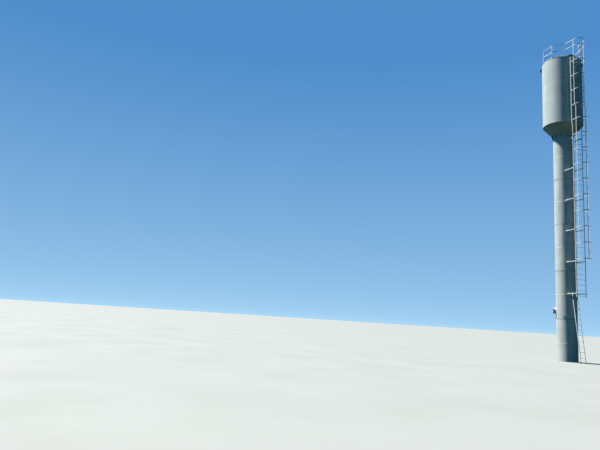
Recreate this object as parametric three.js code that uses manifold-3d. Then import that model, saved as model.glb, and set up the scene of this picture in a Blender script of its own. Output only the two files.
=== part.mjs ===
// Steel water tower: a welded plate column with a wider tank on top.
// Units are millimetres, +Z is up, and the origin is on the ground under the tower's axis.
// A bearing is an angle in degrees seen from above: 0 points at the ladder (-Y), 90 points along +X.

import * as THREE from 'three';
import { mergeVertices } from 'three/addons/utils/BufferGeometryUtils.js';
import Module from 'manifold-3d';

const wasm = await Module();
wasm.setup();

// Driving dimensions: walls
const COLUMN_RADIUS = 610;
const COLUMN_WALL = 6;
const COLUMN_TOP = 14600;
const TANK_RADIUS = 1220;
const TANK_WALL = 5;
const TANK_COURSES = 3;
const CONE_HEIGHT = 730;
const COURSE_HEIGHT = 1500;
const BASE_PLATE = 12;
const WALL_SIDES = 48;
const WALL_TURN = 4.5;

// Driving dimensions: roof
const ROOF_PLATE = 5;
const ROOF_RISE = 90;
const ROOF_RIM_WIDTH = 100;
const ROOF_HATCH_RADIUS = 260;
const ROOF_HATCH_OUT = 910;
const ROOF_HATCH_TALL = 150;
const HATCH_LID_LIP = 25;

// Driving dimensions: stiffening plates where the column meets the cone
const GUSSETS = 12;
const GUSSET_BEARING = 12;
const GUSSET_BELOW = 220;
const GUSSET_REACH = 110;
const GUSSET_PLATE = 8;

// Driving dimensions: ladder, with its plane square to bearing 0, nearer to the axis beside the tank
const LADDER_OUT = 1400;
const TANK_LADDER_OUT = 1330;
const LADDER_BEND_LOW = 14900;
const LADDER_BEND_HIGH = 15200;
const LADDER_BOTTOM = 3960;
const LADDER_TOP = 19700;
const LADDER_SECTIONS = 3;
const LADDER_WIDTH = 660;
const ANGLE_LEG = 50;
const ANGLE_PLATE = 5;
const RUNG_PITCH = 1000 / 3;
const RUNG_FIRST = 4017;
const RUNG_RADIUS = 11;
const ARM_FIRST = 4200;
const ARM_PITCH = 1990;
const COLUMN_ARMS = 6;
const TANK_ARMS = 2;

// Driving dimensions: safety cage round the ladder, shallower in its top section
const HOOP_FIRST = 6250;
const HOOP_PITCH = 1004;
const HOOPS_PER_SECTION = 5;
const CAGE_SECTIONS = 3;
const HOOP_RADIUS = 370;
const HOOP_END_BACK = 15;
const HOOP_STEPS = 12;
const CAGE_DEPTH = 767;
const TOP_CAGE_DEPTH = 730;
const JOGGLE_LOW = 16100;
const JOGGLE_HIGH = 16270;
const GUARD_HEIGHTS = [490, 900];
const FLAT_WIDTH = 40;
const FLAT_PLATE = 5;

// Driving dimensions: railing round the roof, with its heights taken from the tank's top edge
const RAILING_RADIUS = 1180;
const RAILING_PANELS = 4;
const END_POST_BEARING = 25.1;
const POST_SIDE = 30;
const RAIL_HEIGHTS = [100, 510, 940];
const RAIL_END_CLEAR = 17.5;

// Driving dimensions: leaning ladder from the ground to the lowest arms
const ACCESS_FOOT_OUT = 1440;
const ACCESS_TOP_OUT = 790;
const ACCESS_TOP = 4230;
const ACCESS_HALF_WIDTH = 160;
const ACCESS_STILE_DEPTH = 50;
const ACCESS_STILE_PLATE = 22;
const ACCESS_RUNG_PITCH = 330;
const REST_BAR_RADIUS = 17;

// Driving dimensions: manhole, drain and lifting lugs
const MANHOLE_BEARING = -126;
const MANHOLE_HEIGHT = 3115;
const MANHOLE_RADIUS = 185;
const MANHOLE_OUT = 750;
const FLANGE_RADIUS = 225;
const FLANGE_PLATE = 12;
const DRAIN_BEARING = -49;
const DRAIN_HEIGHT = 2740;
const DRAIN_RADIUS = 38;
const DRAIN_OUT = 680;
const DRAIN_SIDES = 16;
const LUG_BEARINGS = [-126, 54];
const LUG_BELOW_TOP = 250;
const LUG_TALL = 280;
const LUG_REACH = 120;
const LUG_PLATE = 25;
const LUG_EYE_RADIUS = 32;
const LUG_CHAMFER = 70;
const LUG_NECK = 30;
const PAD_PLATE = 10;
const PAD_WIDTH = 180;
const PAD_MARGIN = 30;

// Clearance that keeps turned and curved neighbours from overlapping
const GAP = 0.3;

// Overlap by which two members of one welded piece bite into each other
const BITE = 1;

// How far a fitting is drawn into its wall before the wall's curve is cut from it, and how far a cutting
// shape runs past what it cuts
const INTO_WALL = 100;
const PAST_END = 100;

// Heights and places that follow from the driving dimensions
const CONE_TOP = COLUMN_TOP + CONE_HEIGHT;
const TANK_TOP = CONE_TOP + TANK_COURSES * COURSE_HEIGHT;
const ROOF_TOP = TANK_TOP + ROOF_PLATE;
const STILE_INNER = LADDER_WIDTH / 2 - ANGLE_PLATE;
const HOOP_CENTRE_OUT = LADDER_OUT + CAGE_DEPTH - HOOP_RADIUS;
const TOP_HOOP_CENTRE_OUT = TANK_LADDER_OUT + TOP_CAGE_DEPTH - HOOP_RADIUS;

const tower = new THREE.Group();

// Finishes
const greyEnamel = () => new THREE.MeshStandardMaterial({ color: 0xc3ccca, roughness: 0.38, metalness: 0.1 });
const paleEnamel = () => new THREE.MeshStandardMaterial({ color: 0xd3d8d6, roughness: 0.42, metalness: 0.1 });
const bareSteel = () => new THREE.MeshStandardMaterial({ color: 0x6b7378, roughness: 0.55, metalness: 0.6 });

// Small helpers
const radians = (degrees) => THREE.MathUtils.degToRad(degrees);

function add(name, geometry, material) {
  const mesh = new THREE.Mesh(geometry, material);
  mesh.name = name;
  tower.add(mesh);
  return mesh;
}

// Turns a mesh that was drawn at bearing 0 to its own bearing.
function turnTo(mesh, bearing) {
  mesh.rotation.z = radians(bearing);
  return mesh;
}

// Booleans
function toSolid(geometry) {
  const bare = geometry.index ? geometry.toNonIndexed() : geometry.clone();
  bare.deleteAttribute('normal');
  bare.deleteAttribute('uv');
  const merged = mergeVertices(bare, 1e-3);
  const mesh = new wasm.Mesh({
    numProp: 3,
    vertProperties: new Float32Array(merged.attributes.position.array),
    triVerts: new Uint32Array(merged.index.array),
  });
  mesh.merge();
  return new wasm.Manifold(mesh);
}

function toGeometry(solid) {
  const mesh = solid.getMesh();
  const geometry = new THREE.BufferGeometry();
  geometry.setAttribute('position', new THREE.BufferAttribute(mesh.vertProperties, 3));
  geometry.setIndex(new THREE.BufferAttribute(mesh.triVerts, 1));
  return geometry;
}

function join(geometries) {
  return toGeometry(geometries.map(toSolid).reduce((whole, piece) => whole.add(piece)));
}

function cut(geometry, tools) {
  return toGeometry(tools.map(toSolid).reduce((rest, tool) => rest.subtract(tool), toSolid(geometry)));
}

// Round walls: every one has the same flat sides, so stacked plates meet edge to edge.
function lathe(profile) {
  const points = [...profile, profile[0]].map(([radius, height]) => new THREE.Vector2(radius, height));
  const geometry = new THREE.LatheGeometry(points, WALL_SIDES, radians(WALL_TURN), 2 * Math.PI);
  return geometry.rotateX(Math.PI / 2);
}

function ring(radius, wall, low, high) {
  return lathe([[radius - wall, low], [radius, low], [radius, high], [radius - wall, high]]);
}

// The solid space that a round wall fills, a little larger, to seat a fitting on the wall.
function wallBlank(radius, low, high) {
  return lathe([[0, low], [radius + GAP, low], [radius + GAP, high], [0, high]]);
}

// Bars and plates
function polygon(points) {
  return new THREE.Shape(points.map(([x, y]) => new THREE.Vector2(x, y)));
}

function upright(shape, low, high, curveSegments = 12) {
  const options = { depth: high - low, bevelEnabled: false, curveSegments };
  return new THREE.ExtrudeGeometry(shape, options).translate(0, 0, low);
}

// A plate drawn as [distance out from the axis, height] at bearing 0, given its thickness along X.
function radialPlate(shape, thickness, curveSegments = 12) {
  const options = { depth: thickness, bevelEnabled: false, curveSegments };
  const plate = new THREE.ExtrudeGeometry(shape, options).translate(0, 0, -thickness / 2);
  return plate.rotateX(Math.PI / 2).rotateZ(-Math.PI / 2);
}

// A flat bar along a path of [height, how far out] points, between two offsets from the path.
function barOnPath(path, inner, outer, thickness) {
  const near = path.map(([height, out]) => [out + inner, height]);
  const far = path.map(([height, out]) => [out + outer, height]);
  return radialPlate(polygon([...near, ...far.reverse()]), thickness);
}

// A round bar or disc along X, from one end to the other.
function barAlongX(radius, from, to, out, height, sides = 6) {
  const bar = new THREE.CylinderGeometry(radius, radius, to - from, sides).rotateZ(Math.PI / 2);
  return bar.translate((from + to) / 2, -out, height);
}

// A round bar or disc that points out from the axis at bearing 0.
function barOutwards(radius, from, to, height, sides = 24) {
  const bar = new THREE.CylinderGeometry(radius, radius, to - from, sides);
  return bar.translate(0, -(from + to) / 2, height);
}

// Column and tank walls
function addBasePlate() {
  const disc = lathe([[0, 0], [COLUMN_RADIUS, 0], [COLUMN_RADIUS, BASE_PLATE], [0, BASE_PLATE]]);
  add('base_plate', disc, greyEnamel());
}

function columnSeams() {
  const seams = [COLUMN_TOP];
  while (seams[0] > COURSE_HEIGHT) {
    seams.unshift(seams[0] - COURSE_HEIGHT);
  }
  return [BASE_PLATE, ...seams];
}

function columnOpenings() {
  const from = COLUMN_RADIUS - INTO_WALL;
  const to = COLUMN_RADIUS + PAST_END;
  const manhole = barOutwards(MANHOLE_RADIUS - TANK_WALL, from, to, MANHOLE_HEIGHT);
  const drain = barOutwards(DRAIN_RADIUS - TANK_WALL, from, to, DRAIN_HEIGHT, DRAIN_SIDES);
  return [manhole.rotateZ(radians(MANHOLE_BEARING)), drain.rotateZ(radians(DRAIN_BEARING))];
}

function addColumn() {
  const seams = columnSeams();
  for (let course = 1; course < seams.length; course += 1) {
    const low = seams[course - 1];
    const high = seams[course];
    const wall = ring(COLUMN_RADIUS, COLUMN_WALL, low, high);
    const opened = low < MANHOLE_HEIGHT && MANHOLE_HEIGHT < high;
    add(`column_course_${course}`, opened ? cut(wall, columnOpenings()) : wall, greyEnamel());
  }
}

function gusset(bearing) {
  const inner = COLUMN_RADIUS + GAP;
  const slope = CONE_HEIGHT / (TANK_RADIUS - COLUMN_RADIUS);
  const bite = COLUMN_WALL / 2;
  const shape = polygon([
    [inner, COLUMN_TOP - GUSSET_BELOW],
    [inner + GUSSET_REACH, COLUMN_TOP + (GUSSET_REACH + bite) * slope],
    [inner, COLUMN_TOP + bite * slope],
  ]);
  return radialPlate(shape, GUSSET_PLATE).rotateZ(radians(bearing));
}

function addCone() {
  const shell = lathe([
    [COLUMN_RADIUS - COLUMN_WALL, COLUMN_TOP],
    [COLUMN_RADIUS, COLUMN_TOP],
    [TANK_RADIUS, CONE_TOP],
    [TANK_RADIUS - COLUMN_WALL, CONE_TOP],
  ]);
  const gussets = Array.from({ length: GUSSETS }, (_, k) => gusset(GUSSET_BEARING + (k * 360) / GUSSETS));
  add('tank_cone', join([shell, ...gussets]), greyEnamel());
}

function addTank() {
  for (let course = 0; course < TANK_COURSES; course += 1) {
    const low = CONE_TOP + course * COURSE_HEIGHT;
    add(`tank_course_${course + 1}`, ring(TANK_RADIUS, TANK_WALL, low, low + COURSE_HEIGHT), greyEnamel());
  }
}

// Roof and its hatch; the plate's underside can be lowered to make a cutting shape.
function roofPlate(lowered) {
  const rim = TANK_RADIUS - ROOF_RIM_WIDTH;
  return lathe([
    [0, TANK_TOP + ROOF_RISE - lowered],
    [rim, TANK_TOP - lowered],
    [TANK_RADIUS, TANK_TOP - lowered],
    [TANK_RADIUS, ROOF_TOP],
    [rim, ROOF_TOP],
    [0, ROOF_TOP + ROOF_RISE],
  ]);
}

function hatchDisc(radius, low, high) {
  const disc = new THREE.CylinderGeometry(radius, radius, high - low, 32).rotateX(Math.PI / 2);
  return disc.translate(0, -ROOF_HATCH_OUT, (low + high) / 2);
}

function addRoof() {
  const curbTop = TANK_TOP + ROOF_HATCH_TALL;
  const bore = hatchDisc(ROOF_HATCH_RADIUS - TANK_WALL, TANK_TOP - PAST_END, curbTop + PAST_END);
  const curb = hatchDisc(ROOF_HATCH_RADIUS, TANK_TOP, curbTop);
  const roofBlank = roofPlate(PAST_END).translate(0, 0, GAP);
  add('tank_roof', cut(roofPlate(0), [bore]), greyEnamel());
  add('roof_hatch_curb', cut(curb, [roofBlank, bore]), greyEnamel());
  const lid = hatchDisc(ROOF_HATCH_RADIUS + HATCH_LID_LIP, curbTop, curbTop + ROOF_PLATE);
  add('roof_hatch_lid', lid, greyEnamel());
}

// Manhole near the foot of the column
function addManhole() {
  const neck = barOutwards(MANHOLE_RADIUS, COLUMN_RADIUS - INTO_WALL, MANHOLE_OUT, MANHOLE_HEIGHT);
  const flange = barOutwards(FLANGE_RADIUS, MANHOLE_OUT - FLANGE_PLATE, MANHOLE_OUT, MANHOLE_HEIGHT);
  const boreStart = COLUMN_RADIUS - INTO_WALL - PAST_END;
  const bore = barOutwards(MANHOLE_RADIUS - TANK_WALL, boreStart, MANHOLE_OUT + PAST_END, MANHOLE_HEIGHT);
  const cover = barOutwards(FLANGE_RADIUS, MANHOLE_OUT + GAP, MANHOLE_OUT + FLANGE_PLATE, MANHOLE_HEIGHT);
  const turn = radians(MANHOLE_BEARING);
  const past = 2 * FLANGE_RADIUS;
  const blank = wallBlank(COLUMN_RADIUS, MANHOLE_HEIGHT - past, MANHOLE_HEIGHT + past);
  const tools = [bore.rotateZ(turn), blank];
  add('manhole_neck', cut(join([neck, flange]).rotateZ(turn), tools), greyEnamel());
  turnTo(add('manhole_cover', cover, paleEnamel()), MANHOLE_BEARING);
}

function addDrain() {
  const innerRadius = DRAIN_RADIUS - TANK_WALL;
  const boreStart = COLUMN_RADIUS - INTO_WALL - PAST_END;
  const socket = barOutwards(DRAIN_RADIUS, COLUMN_RADIUS - INTO_WALL, DRAIN_OUT, DRAIN_HEIGHT, DRAIN_SIDES);
  const bore = barOutwards(innerRadius, boreStart, DRAIN_OUT + PAST_END, DRAIN_HEIGHT, DRAIN_SIDES);
  const turn = radians(DRAIN_BEARING);
  const blank = wallBlank(COLUMN_RADIUS, DRAIN_HEIGHT - 2 * DRAIN_RADIUS, DRAIN_HEIGHT + 2 * DRAIN_RADIUS);
  add('drain_socket', cut(socket.rotateZ(turn), [bore.rotateZ(turn), blank]), bareSteel());
}

// Lifting lugs welded to the tank near its top
function lugPlate(height) {
  const low = height - LUG_TALL / 2;
  const high = height + LUG_TALL / 2;
  const inner = TANK_RADIUS - INTO_WALL;
  const neck = TANK_RADIUS + LUG_NECK;
  const nose = TANK_RADIUS + LUG_REACH;
  const shape = polygon([[inner, low], [neck, low], [nose, low + LUG_CHAMFER], [nose, high - LUG_CHAMFER],
    [neck, high], [inner, high]]);
  const eye = new THREE.Path();
  eye.absarc(nose - LUG_REACH / 2, height, LUG_EYE_RADIUS, 0, 2 * Math.PI);
  shape.holes.push(eye);
  return radialPlate(shape, LUG_PLATE, 16);
}

function lugPad(height) {
  const depth = INTO_WALL + PAD_PLATE;
  const pad = new THREE.BoxGeometry(PAD_WIDTH, depth, LUG_TALL + 2 * PAD_MARGIN);
  return pad.translate(0, depth / 2 - TANK_RADIUS - PAD_PLATE, height);
}

function addLiftingLugs() {
  const height = TANK_TOP - LUG_BELOW_TOP;
  LUG_BEARINGS.forEach((bearing, index) => {
    const lug = join([lugPlate(height), lugPad(height)]).rotateZ(radians(bearing));
    const blank = wallBlank(TANK_RADIUS, height - LUG_TALL, height + LUG_TALL);
    add(`lifting_lug_${index + 1}`, cut(lug, [blank]), bareSteel());
  });
}

// Fixed ladder: how far its middle plane is from the axis at a height, and its path between two heights
function ladderOut(height) {
  const share = (height - LADDER_BEND_LOW) / (LADDER_BEND_HIGH - LADDER_BEND_LOW);
  return THREE.MathUtils.lerp(LADDER_OUT, TANK_LADDER_OUT, THREE.MathUtils.clamp(share, 0, 1));
}

function ladderPath(low, high) {
  const bends = [LADDER_BEND_LOW, LADDER_BEND_HIGH].filter((height) => low < height && height < high);
  return [low, ...bends, high].map((height) => [height, ladderOut(height)]);
}

// Each stile is an angle with one leg beside the rungs' ends and one in front, turned in.
function stile(side, path) {
  const half = ANGLE_LEG / 2;
  const web = barOnPath(path, -half, half, ANGLE_PLATE);
  const front = barOnPath(path, half - ANGLE_PLATE, half, ANGLE_LEG);
  web.translate(side * (LADDER_WIDTH / 2 - ANGLE_PLATE / 2), 0, 0);
  front.translate(side * (LADDER_WIDTH / 2 - half), 0, 0);
  return [web, front];
}

function rungHeights(low, high) {
  const heights = [];
  for (let height = RUNG_FIRST; height < high - RUNG_RADIUS; height += RUNG_PITCH) {
    if (height > low + RUNG_RADIUS) {
      heights.push(height);
    }
  }
  return heights;
}

function addLadder() {
  const length = (LADDER_TOP - LADDER_BOTTOM) / LADDER_SECTIONS;
  const reach = STILE_INNER + ANGLE_PLATE / 2;
  for (let section = 0; section < LADDER_SECTIONS; section += 1) {
    const low = LADDER_BOTTOM + section * length;
    const high = low + length;
    const path = ladderPath(low, high);
    const rungs = rungHeights(low, high).map((z) => barAlongX(RUNG_RADIUS, -reach, reach, ladderOut(z), z));
    const ladder = join([...stile(-1, path), ...stile(1, path), ...rungs]);
    add(`ladder_section_${section + 1}`, ladder, paleEnamel());
  }
}

// Arms that hold the ladder off the column and the tank: angles inside the stiles, with the flat leg on top
function arm(side, wallRadius, top) {
  const outer = STILE_INNER - GAP;
  const inner = outer - ANGLE_PLATE;
  const toe = outer - ANGLE_LEG;
  const points = [[outer, 0], [toe, 0], [toe, -ANGLE_PLATE], [inner, -ANGLE_PLATE], [inner, -ANGLE_LEG],
    [outer, -ANGLE_LEG]];
  const shape = polygon(points.map(([x, z]) => [side * x, z]));
  const length = ladderOut(top) + ANGLE_LEG / 2 - ANGLE_PLATE - GAP;
  const bar = new THREE.ExtrudeGeometry(shape, { depth: length, bevelEnabled: false });
  bar.rotateX(Math.PI / 2).translate(0, 0, top);
  return cut(bar, [wallBlank(wallRadius, top - 2 * ANGLE_LEG, top + ANGLE_LEG)]);
}

function addArms() {
  for (let level = 0; level < COLUMN_ARMS + TANK_ARMS; level += 1) {
    const wallRadius = level < COLUMN_ARMS ? COLUMN_RADIUS : TANK_RADIUS;
    const top = ARM_FIRST + level * ARM_PITCH;
    add(`ladder_arm_${level + 1}_left`, arm(-1, wallRadius, top), paleEnamel());
    add(`ladder_arm_${level + 1}_right`, arm(1, wallRadius, top), paleEnamel());
  }
}

// Safety cage: a hoop runs from its two ends to the side strips, and then half round the climber.
function hoop(endX, endOut, centreOut, height) {
  const inner = HOOP_RADIUS - FLAT_PLATE;
  const shape = new THREE.Shape();
  shape.moveTo(-endX, -endOut);
  shape.absarc(0, -centreOut, HOOP_RADIUS, Math.PI, 2 * Math.PI);
  shape.lineTo(endX, -endOut);
  shape.lineTo(endX - FLAT_PLATE, -endOut);
  shape.absarc(0, -centreOut, inner, 2 * Math.PI, Math.PI, true);
  shape.lineTo(FLAT_PLATE - endX, -endOut);
  return upright(shape, height - FLAT_WIDTH / 2, height + FLAT_WIDTH / 2, HOOP_STEPS);
}

// A ladder hoop starts beside each stile, and a guard hoop at the end posts of the railing.
function ladderHoop(centreOut, height) {
  return hoop(LADDER_WIDTH / 2 + GAP + FLAT_PLATE, ladderOut(height) - HOOP_END_BACK, centreOut, height);
}

function guardHoop(height) {
  const bearing = radians(END_POST_BEARING);
  const postX = RAILING_RADIUS * Math.sin(bearing);
  const postOut = RAILING_RADIUS * Math.cos(bearing) + POST_SIDE / Math.SQRT2 + GAP;
  return hoop(postX, postOut, TOP_HOOP_CENTRE_OUT, height);
}

// One strip in front and one at each side follow the hoops' centres, given as [height, how far out].
function strips(centres) {
  const seat = HOOP_RADIUS - 2 * FLAT_PLATE + BITE;
  const front = barOnPath(centres, seat, seat + FLAT_PLATE, FLAT_WIDTH);
  const sides = [-1, 1].map((side) => {
    const bar = barOnPath(centres, -FLAT_WIDTH / 2, FLAT_WIDTH / 2, FLAT_PLATE);
    return bar.translate(side * (seat + FLAT_PLATE / 2), 0, 0);
  });
  return [front, ...sides];
}

function lowerCage(section) {
  const first = HOOP_FIRST + section * HOOPS_PER_SECTION * HOOP_PITCH;
  const low = section === 0 ? first - FLAT_WIDTH / 2 : first - HOOP_PITCH / 2;
  const high = section === CAGE_SECTIONS - 2 ? JOGGLE_LOW : first + (HOOPS_PER_SECTION - 0.5) * HOOP_PITCH;
  const heights = Array.from({ length: HOOPS_PER_SECTION }, (_, k) => first + k * HOOP_PITCH);
  const hoops = heights.map((height) => ladderHoop(HOOP_CENTRE_OUT, height));
  return join([...strips([[low, HOOP_CENTRE_OUT], [high, HOOP_CENTRE_OUT]]), ...hoops]);
}

function topCage() {
  const first = HOOP_FIRST + (CAGE_SECTIONS - 1) * HOOPS_PER_SECTION * HOOP_PITCH;
  const heights = Array.from({ length: HOOPS_PER_SECTION - 1 }, (_, k) => first + k * HOOP_PITCH);
  const hoops = heights.map((height) => ladderHoop(TOP_HOOP_CENTRE_OUT, height));
  const guards = GUARD_HEIGHTS.map((above) => guardHoop(TANK_TOP + above));
  const top = TANK_TOP + GUARD_HEIGHTS[1] + FLAT_WIDTH / 2;
  const joggle = [[JOGGLE_LOW, HOOP_CENTRE_OUT], [JOGGLE_HIGH, TOP_HOOP_CENTRE_OUT]];
  return join([...strips([...joggle, [top, TOP_HOOP_CENTRE_OUT]]), ...hoops, ...guards]);
}

function addCage() {
  for (let section = 0; section < CAGE_SECTIONS - 1; section += 1) {
    add(`cage_section_${section + 1}`, lowerCage(section), paleEnamel());
  }
  add(`cage_section_${CAGE_SECTIONS}`, topCage(), paleEnamel());
}

// Railing round the roof: square posts, and flat rails that run straight from post to post
function onRailing(bearing) {
  return new THREE.Vector2(0, -RAILING_RADIUS).rotateAround(new THREE.Vector2(), radians(bearing));
}

function rail(from, to, height, clear) {
  const start = onRailing(from);
  const run = onRailing(to).sub(start);
  const length = run.length() - clear;
  const bar = new THREE.BoxGeometry(length, FLAT_PLATE, FLAT_WIDTH).translate(length / 2, 0, 0);
  return bar.rotateZ(run.angle()).translate(start.x, start.y, height);
}

function post(bearing) {
  const tall = RAIL_HEIGHTS[2] + FLAT_WIDTH / 2 - ROOF_PLATE;
  const bar = new THREE.BoxGeometry(POST_SIDE, POST_SIDE, tall);
  return bar.translate(0, -RAILING_RADIUS, ROOF_TOP + tall / 2).rotateZ(radians(bearing));
}

function railingPanel(from, span, last) {
  const middle = from + span / 2;
  const to = from + span;
  const clear = last ? 0 : RAIL_END_CLEAR;
  const posts = (last ? [from, middle, to] : [from, middle]).map(post);
  const rails = RAIL_HEIGHTS.flatMap((above) => {
    const height = TANK_TOP + above;
    return [rail(from, middle, height, 0), rail(middle, to, height, clear)];
  });
  return join([...posts, ...rails]);
}

function addRailing() {
  const span = (360 - 2 * END_POST_BEARING) / RAILING_PANELS;
  for (let panel = 0; panel < RAILING_PANELS; panel += 1) {
    const from = END_POST_BEARING + panel * span;
    add(`railing_panel_${panel + 1}`, railingPanel(from, span, panel === RAILING_PANELS - 1), paleEnamel());
  }
}

// Leaning access ladder and the bar that it rests on
function accessStile(side) {
  const half = ACCESS_STILE_DEPTH / 2;
  const shape = polygon([[ACCESS_FOOT_OUT - half, 0], [ACCESS_FOOT_OUT + half, 0],
    [ACCESS_TOP_OUT + half, ACCESS_TOP], [ACCESS_TOP_OUT - half, ACCESS_TOP]]);
  return radialPlate(shape, ACCESS_STILE_PLATE).translate(side * ACCESS_HALF_WIDTH, 0, 0);
}

function accessOutAt(height) {
  return ACCESS_FOOT_OUT + ((ACCESS_TOP_OUT - ACCESS_FOOT_OUT) * height) / ACCESS_TOP;
}

function addAccessLadder() {
  const rungs = [];
  for (let height = ACCESS_RUNG_PITCH; height < ACCESS_TOP; height += ACCESS_RUNG_PITCH) {
    rungs.push(barAlongX(RUNG_RADIUS, -ACCESS_HALF_WIDTH, ACCESS_HALF_WIDTH, accessOutAt(height), height));
  }
  add('access_ladder', join([accessStile(-1), accessStile(1), ...rungs]), paleEnamel());
}

function addRestBar() {
  const height = ARM_FIRST - ANGLE_LEG / 2;
  const lean = Math.atan2(ACCESS_FOOT_OUT - ACCESS_TOP_OUT, ACCESS_TOP);
  const out = accessOutAt(height) - ACCESS_STILE_DEPTH / 2 - (REST_BAR_RADIUS + GAP) / Math.cos(lean);
  const reach = STILE_INNER - ANGLE_PLATE - 2 * GAP;
  add('rest_bar', barAlongX(REST_BAR_RADIUS, -reach, reach, out, height, 12), paleEnamel());
}

addBasePlate();
addColumn();
addCone();
addTank();
addRoof();
addManhole();
addDrain();
addLiftingLugs();
addLadder();
addArms();
addCage();
addRailing();
addAccessLadder();
addRestBar();

export default tower;
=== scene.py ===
# %% [markdown]
# # A welded water tower on its CAD frame
# The real tower is steel plate, rolled into rings, stacked and welded, and painted on site with a roller.
# The CAD model already has every size right, but its walls have flat sides and its edges are knife sharp.
# This lesson loads that model, keeps its places, and gives each piece the look of rolled and welded steel.

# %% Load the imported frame
import math

import bmesh
import bpy
from mathutils import Matrix, Vector, noise


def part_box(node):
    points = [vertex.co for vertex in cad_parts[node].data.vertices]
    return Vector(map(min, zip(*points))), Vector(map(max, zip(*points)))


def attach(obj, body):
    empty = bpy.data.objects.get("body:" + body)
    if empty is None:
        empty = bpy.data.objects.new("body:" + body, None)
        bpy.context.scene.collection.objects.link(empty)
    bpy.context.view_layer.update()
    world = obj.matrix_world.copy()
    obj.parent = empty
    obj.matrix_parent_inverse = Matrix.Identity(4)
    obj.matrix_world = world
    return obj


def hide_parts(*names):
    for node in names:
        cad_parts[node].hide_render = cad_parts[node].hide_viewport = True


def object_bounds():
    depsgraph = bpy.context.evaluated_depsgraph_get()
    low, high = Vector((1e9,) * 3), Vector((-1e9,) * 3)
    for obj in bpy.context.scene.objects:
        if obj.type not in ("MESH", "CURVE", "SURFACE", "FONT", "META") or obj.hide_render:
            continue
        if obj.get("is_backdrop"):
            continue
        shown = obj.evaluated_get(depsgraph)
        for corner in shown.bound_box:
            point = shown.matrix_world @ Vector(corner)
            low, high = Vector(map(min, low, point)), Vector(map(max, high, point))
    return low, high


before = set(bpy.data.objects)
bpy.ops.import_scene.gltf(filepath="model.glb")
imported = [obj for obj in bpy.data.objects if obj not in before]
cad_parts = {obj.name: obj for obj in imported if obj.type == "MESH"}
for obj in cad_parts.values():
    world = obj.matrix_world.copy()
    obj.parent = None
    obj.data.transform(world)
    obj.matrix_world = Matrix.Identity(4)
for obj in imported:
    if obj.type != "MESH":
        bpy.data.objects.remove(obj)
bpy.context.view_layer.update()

# %% [markdown]
# ## The camera
# The photograph was taken at eye height, 38 m away, with the tower at the right edge of a wide frame.
# So the camera stands low, looks up and past the tower, and leans a little. Its place is given as
# a bearing round the tower and a distance. An unshifted lens keeps the verticals leaning as they really do.

# %% Camera
CAMERA_BEARING = -36.0
CAMERA_OUT = 37.949
CAMERA_HEIGHT = 1.754
CAMERA_SWING = 26.943
CAMERA_PITCH = 9.692
CAMERA_ROLL = -3.683
FOCAL_PIXELS = 530.5
FRAME_PIXELS = 600
SENSOR_MM = 36


def from_axis(bearing, out, height):
    """A point at a bearing in degrees round the tower, which is 0 at the ladder and grows towards +X."""
    angle = math.radians(bearing)
    return Vector((out * math.sin(angle), -out * math.cos(angle), height))


eye = from_axis(CAMERA_BEARING, CAMERA_OUT, CAMERA_HEIGHT)
heading = math.atan2(-eye.y, -eye.x) + math.radians(CAMERA_SWING)
pitch = math.radians(CAMERA_PITCH)
forward = Vector((math.cos(heading) * math.cos(pitch), math.sin(heading) * math.cos(pitch), math.sin(pitch)))
level_right = Vector((math.sin(heading), -math.cos(heading), 0))
level_up = level_right.cross(forward)
lean = Matrix.Rotation(math.radians(CAMERA_ROLL), 3, forward)
camera = bpy.data.objects.new("camera", bpy.data.cameras.new("camera"))
camera.data.sensor_width = SENSOR_MM
camera.data.lens = FOCAL_PIXELS / FRAME_PIXELS * SENSOR_MM
camera.matrix_world = Matrix((lean @ level_right, lean @ level_up, -forward)).transposed().to_4x4()
camera.location = eye
bpy.context.scene.collection.objects.link(camera)
bpy.context.scene.camera = camera
print("camera at", [round(v, 2) for v in eye], "lens", round(camera.data.lens, 2), "mm")

# %% [markdown]
# ## Colours and nodes
# Paint charts give colours as sRGB hex values, but shaders add up light in linear numbers, so one function
# turns them. A second one adds a node, sets it, and links it, which keeps every material short to read.

# %% Helpers for materials
def paint(code):
    """Turns an sRGB hex value into the linear colour that a shader needs."""
    channels = [int(code[k:k + 2], 16) / 255 for k in (1, 3, 5)]
    return tuple(c / 12.92 if c <= 0.04045 else ((c + 0.055) / 1.055) ** 2.4 for c in channels) + (1.0,)


def add_node(tree, kind, settings, inputs):
    """Adds a node. An input is a plain value, or the output of another node to link from."""
    made = tree.nodes.new(kind)
    for key, value in settings.items():
        setattr(made, key, value)
    for key, value in inputs.items():
        if isinstance(value, bpy.types.NodeSocket):
            tree.links.new(value, made.inputs[key])
        else:
            made.inputs[key].default_value = value
    return made


def new_finish(name):
    """A material with its node tree, its shader, and Object coordinates to draw patterns on."""
    finish = bpy.data.materials.new(name)
    finish.use_nodes = True
    tree = finish.node_tree
    coordinates = add_node(tree, "ShaderNodeTexCoord", {}, {})
    return finish, tree, tree.nodes["Principled BSDF"], coordinates.outputs["Object"]
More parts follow.
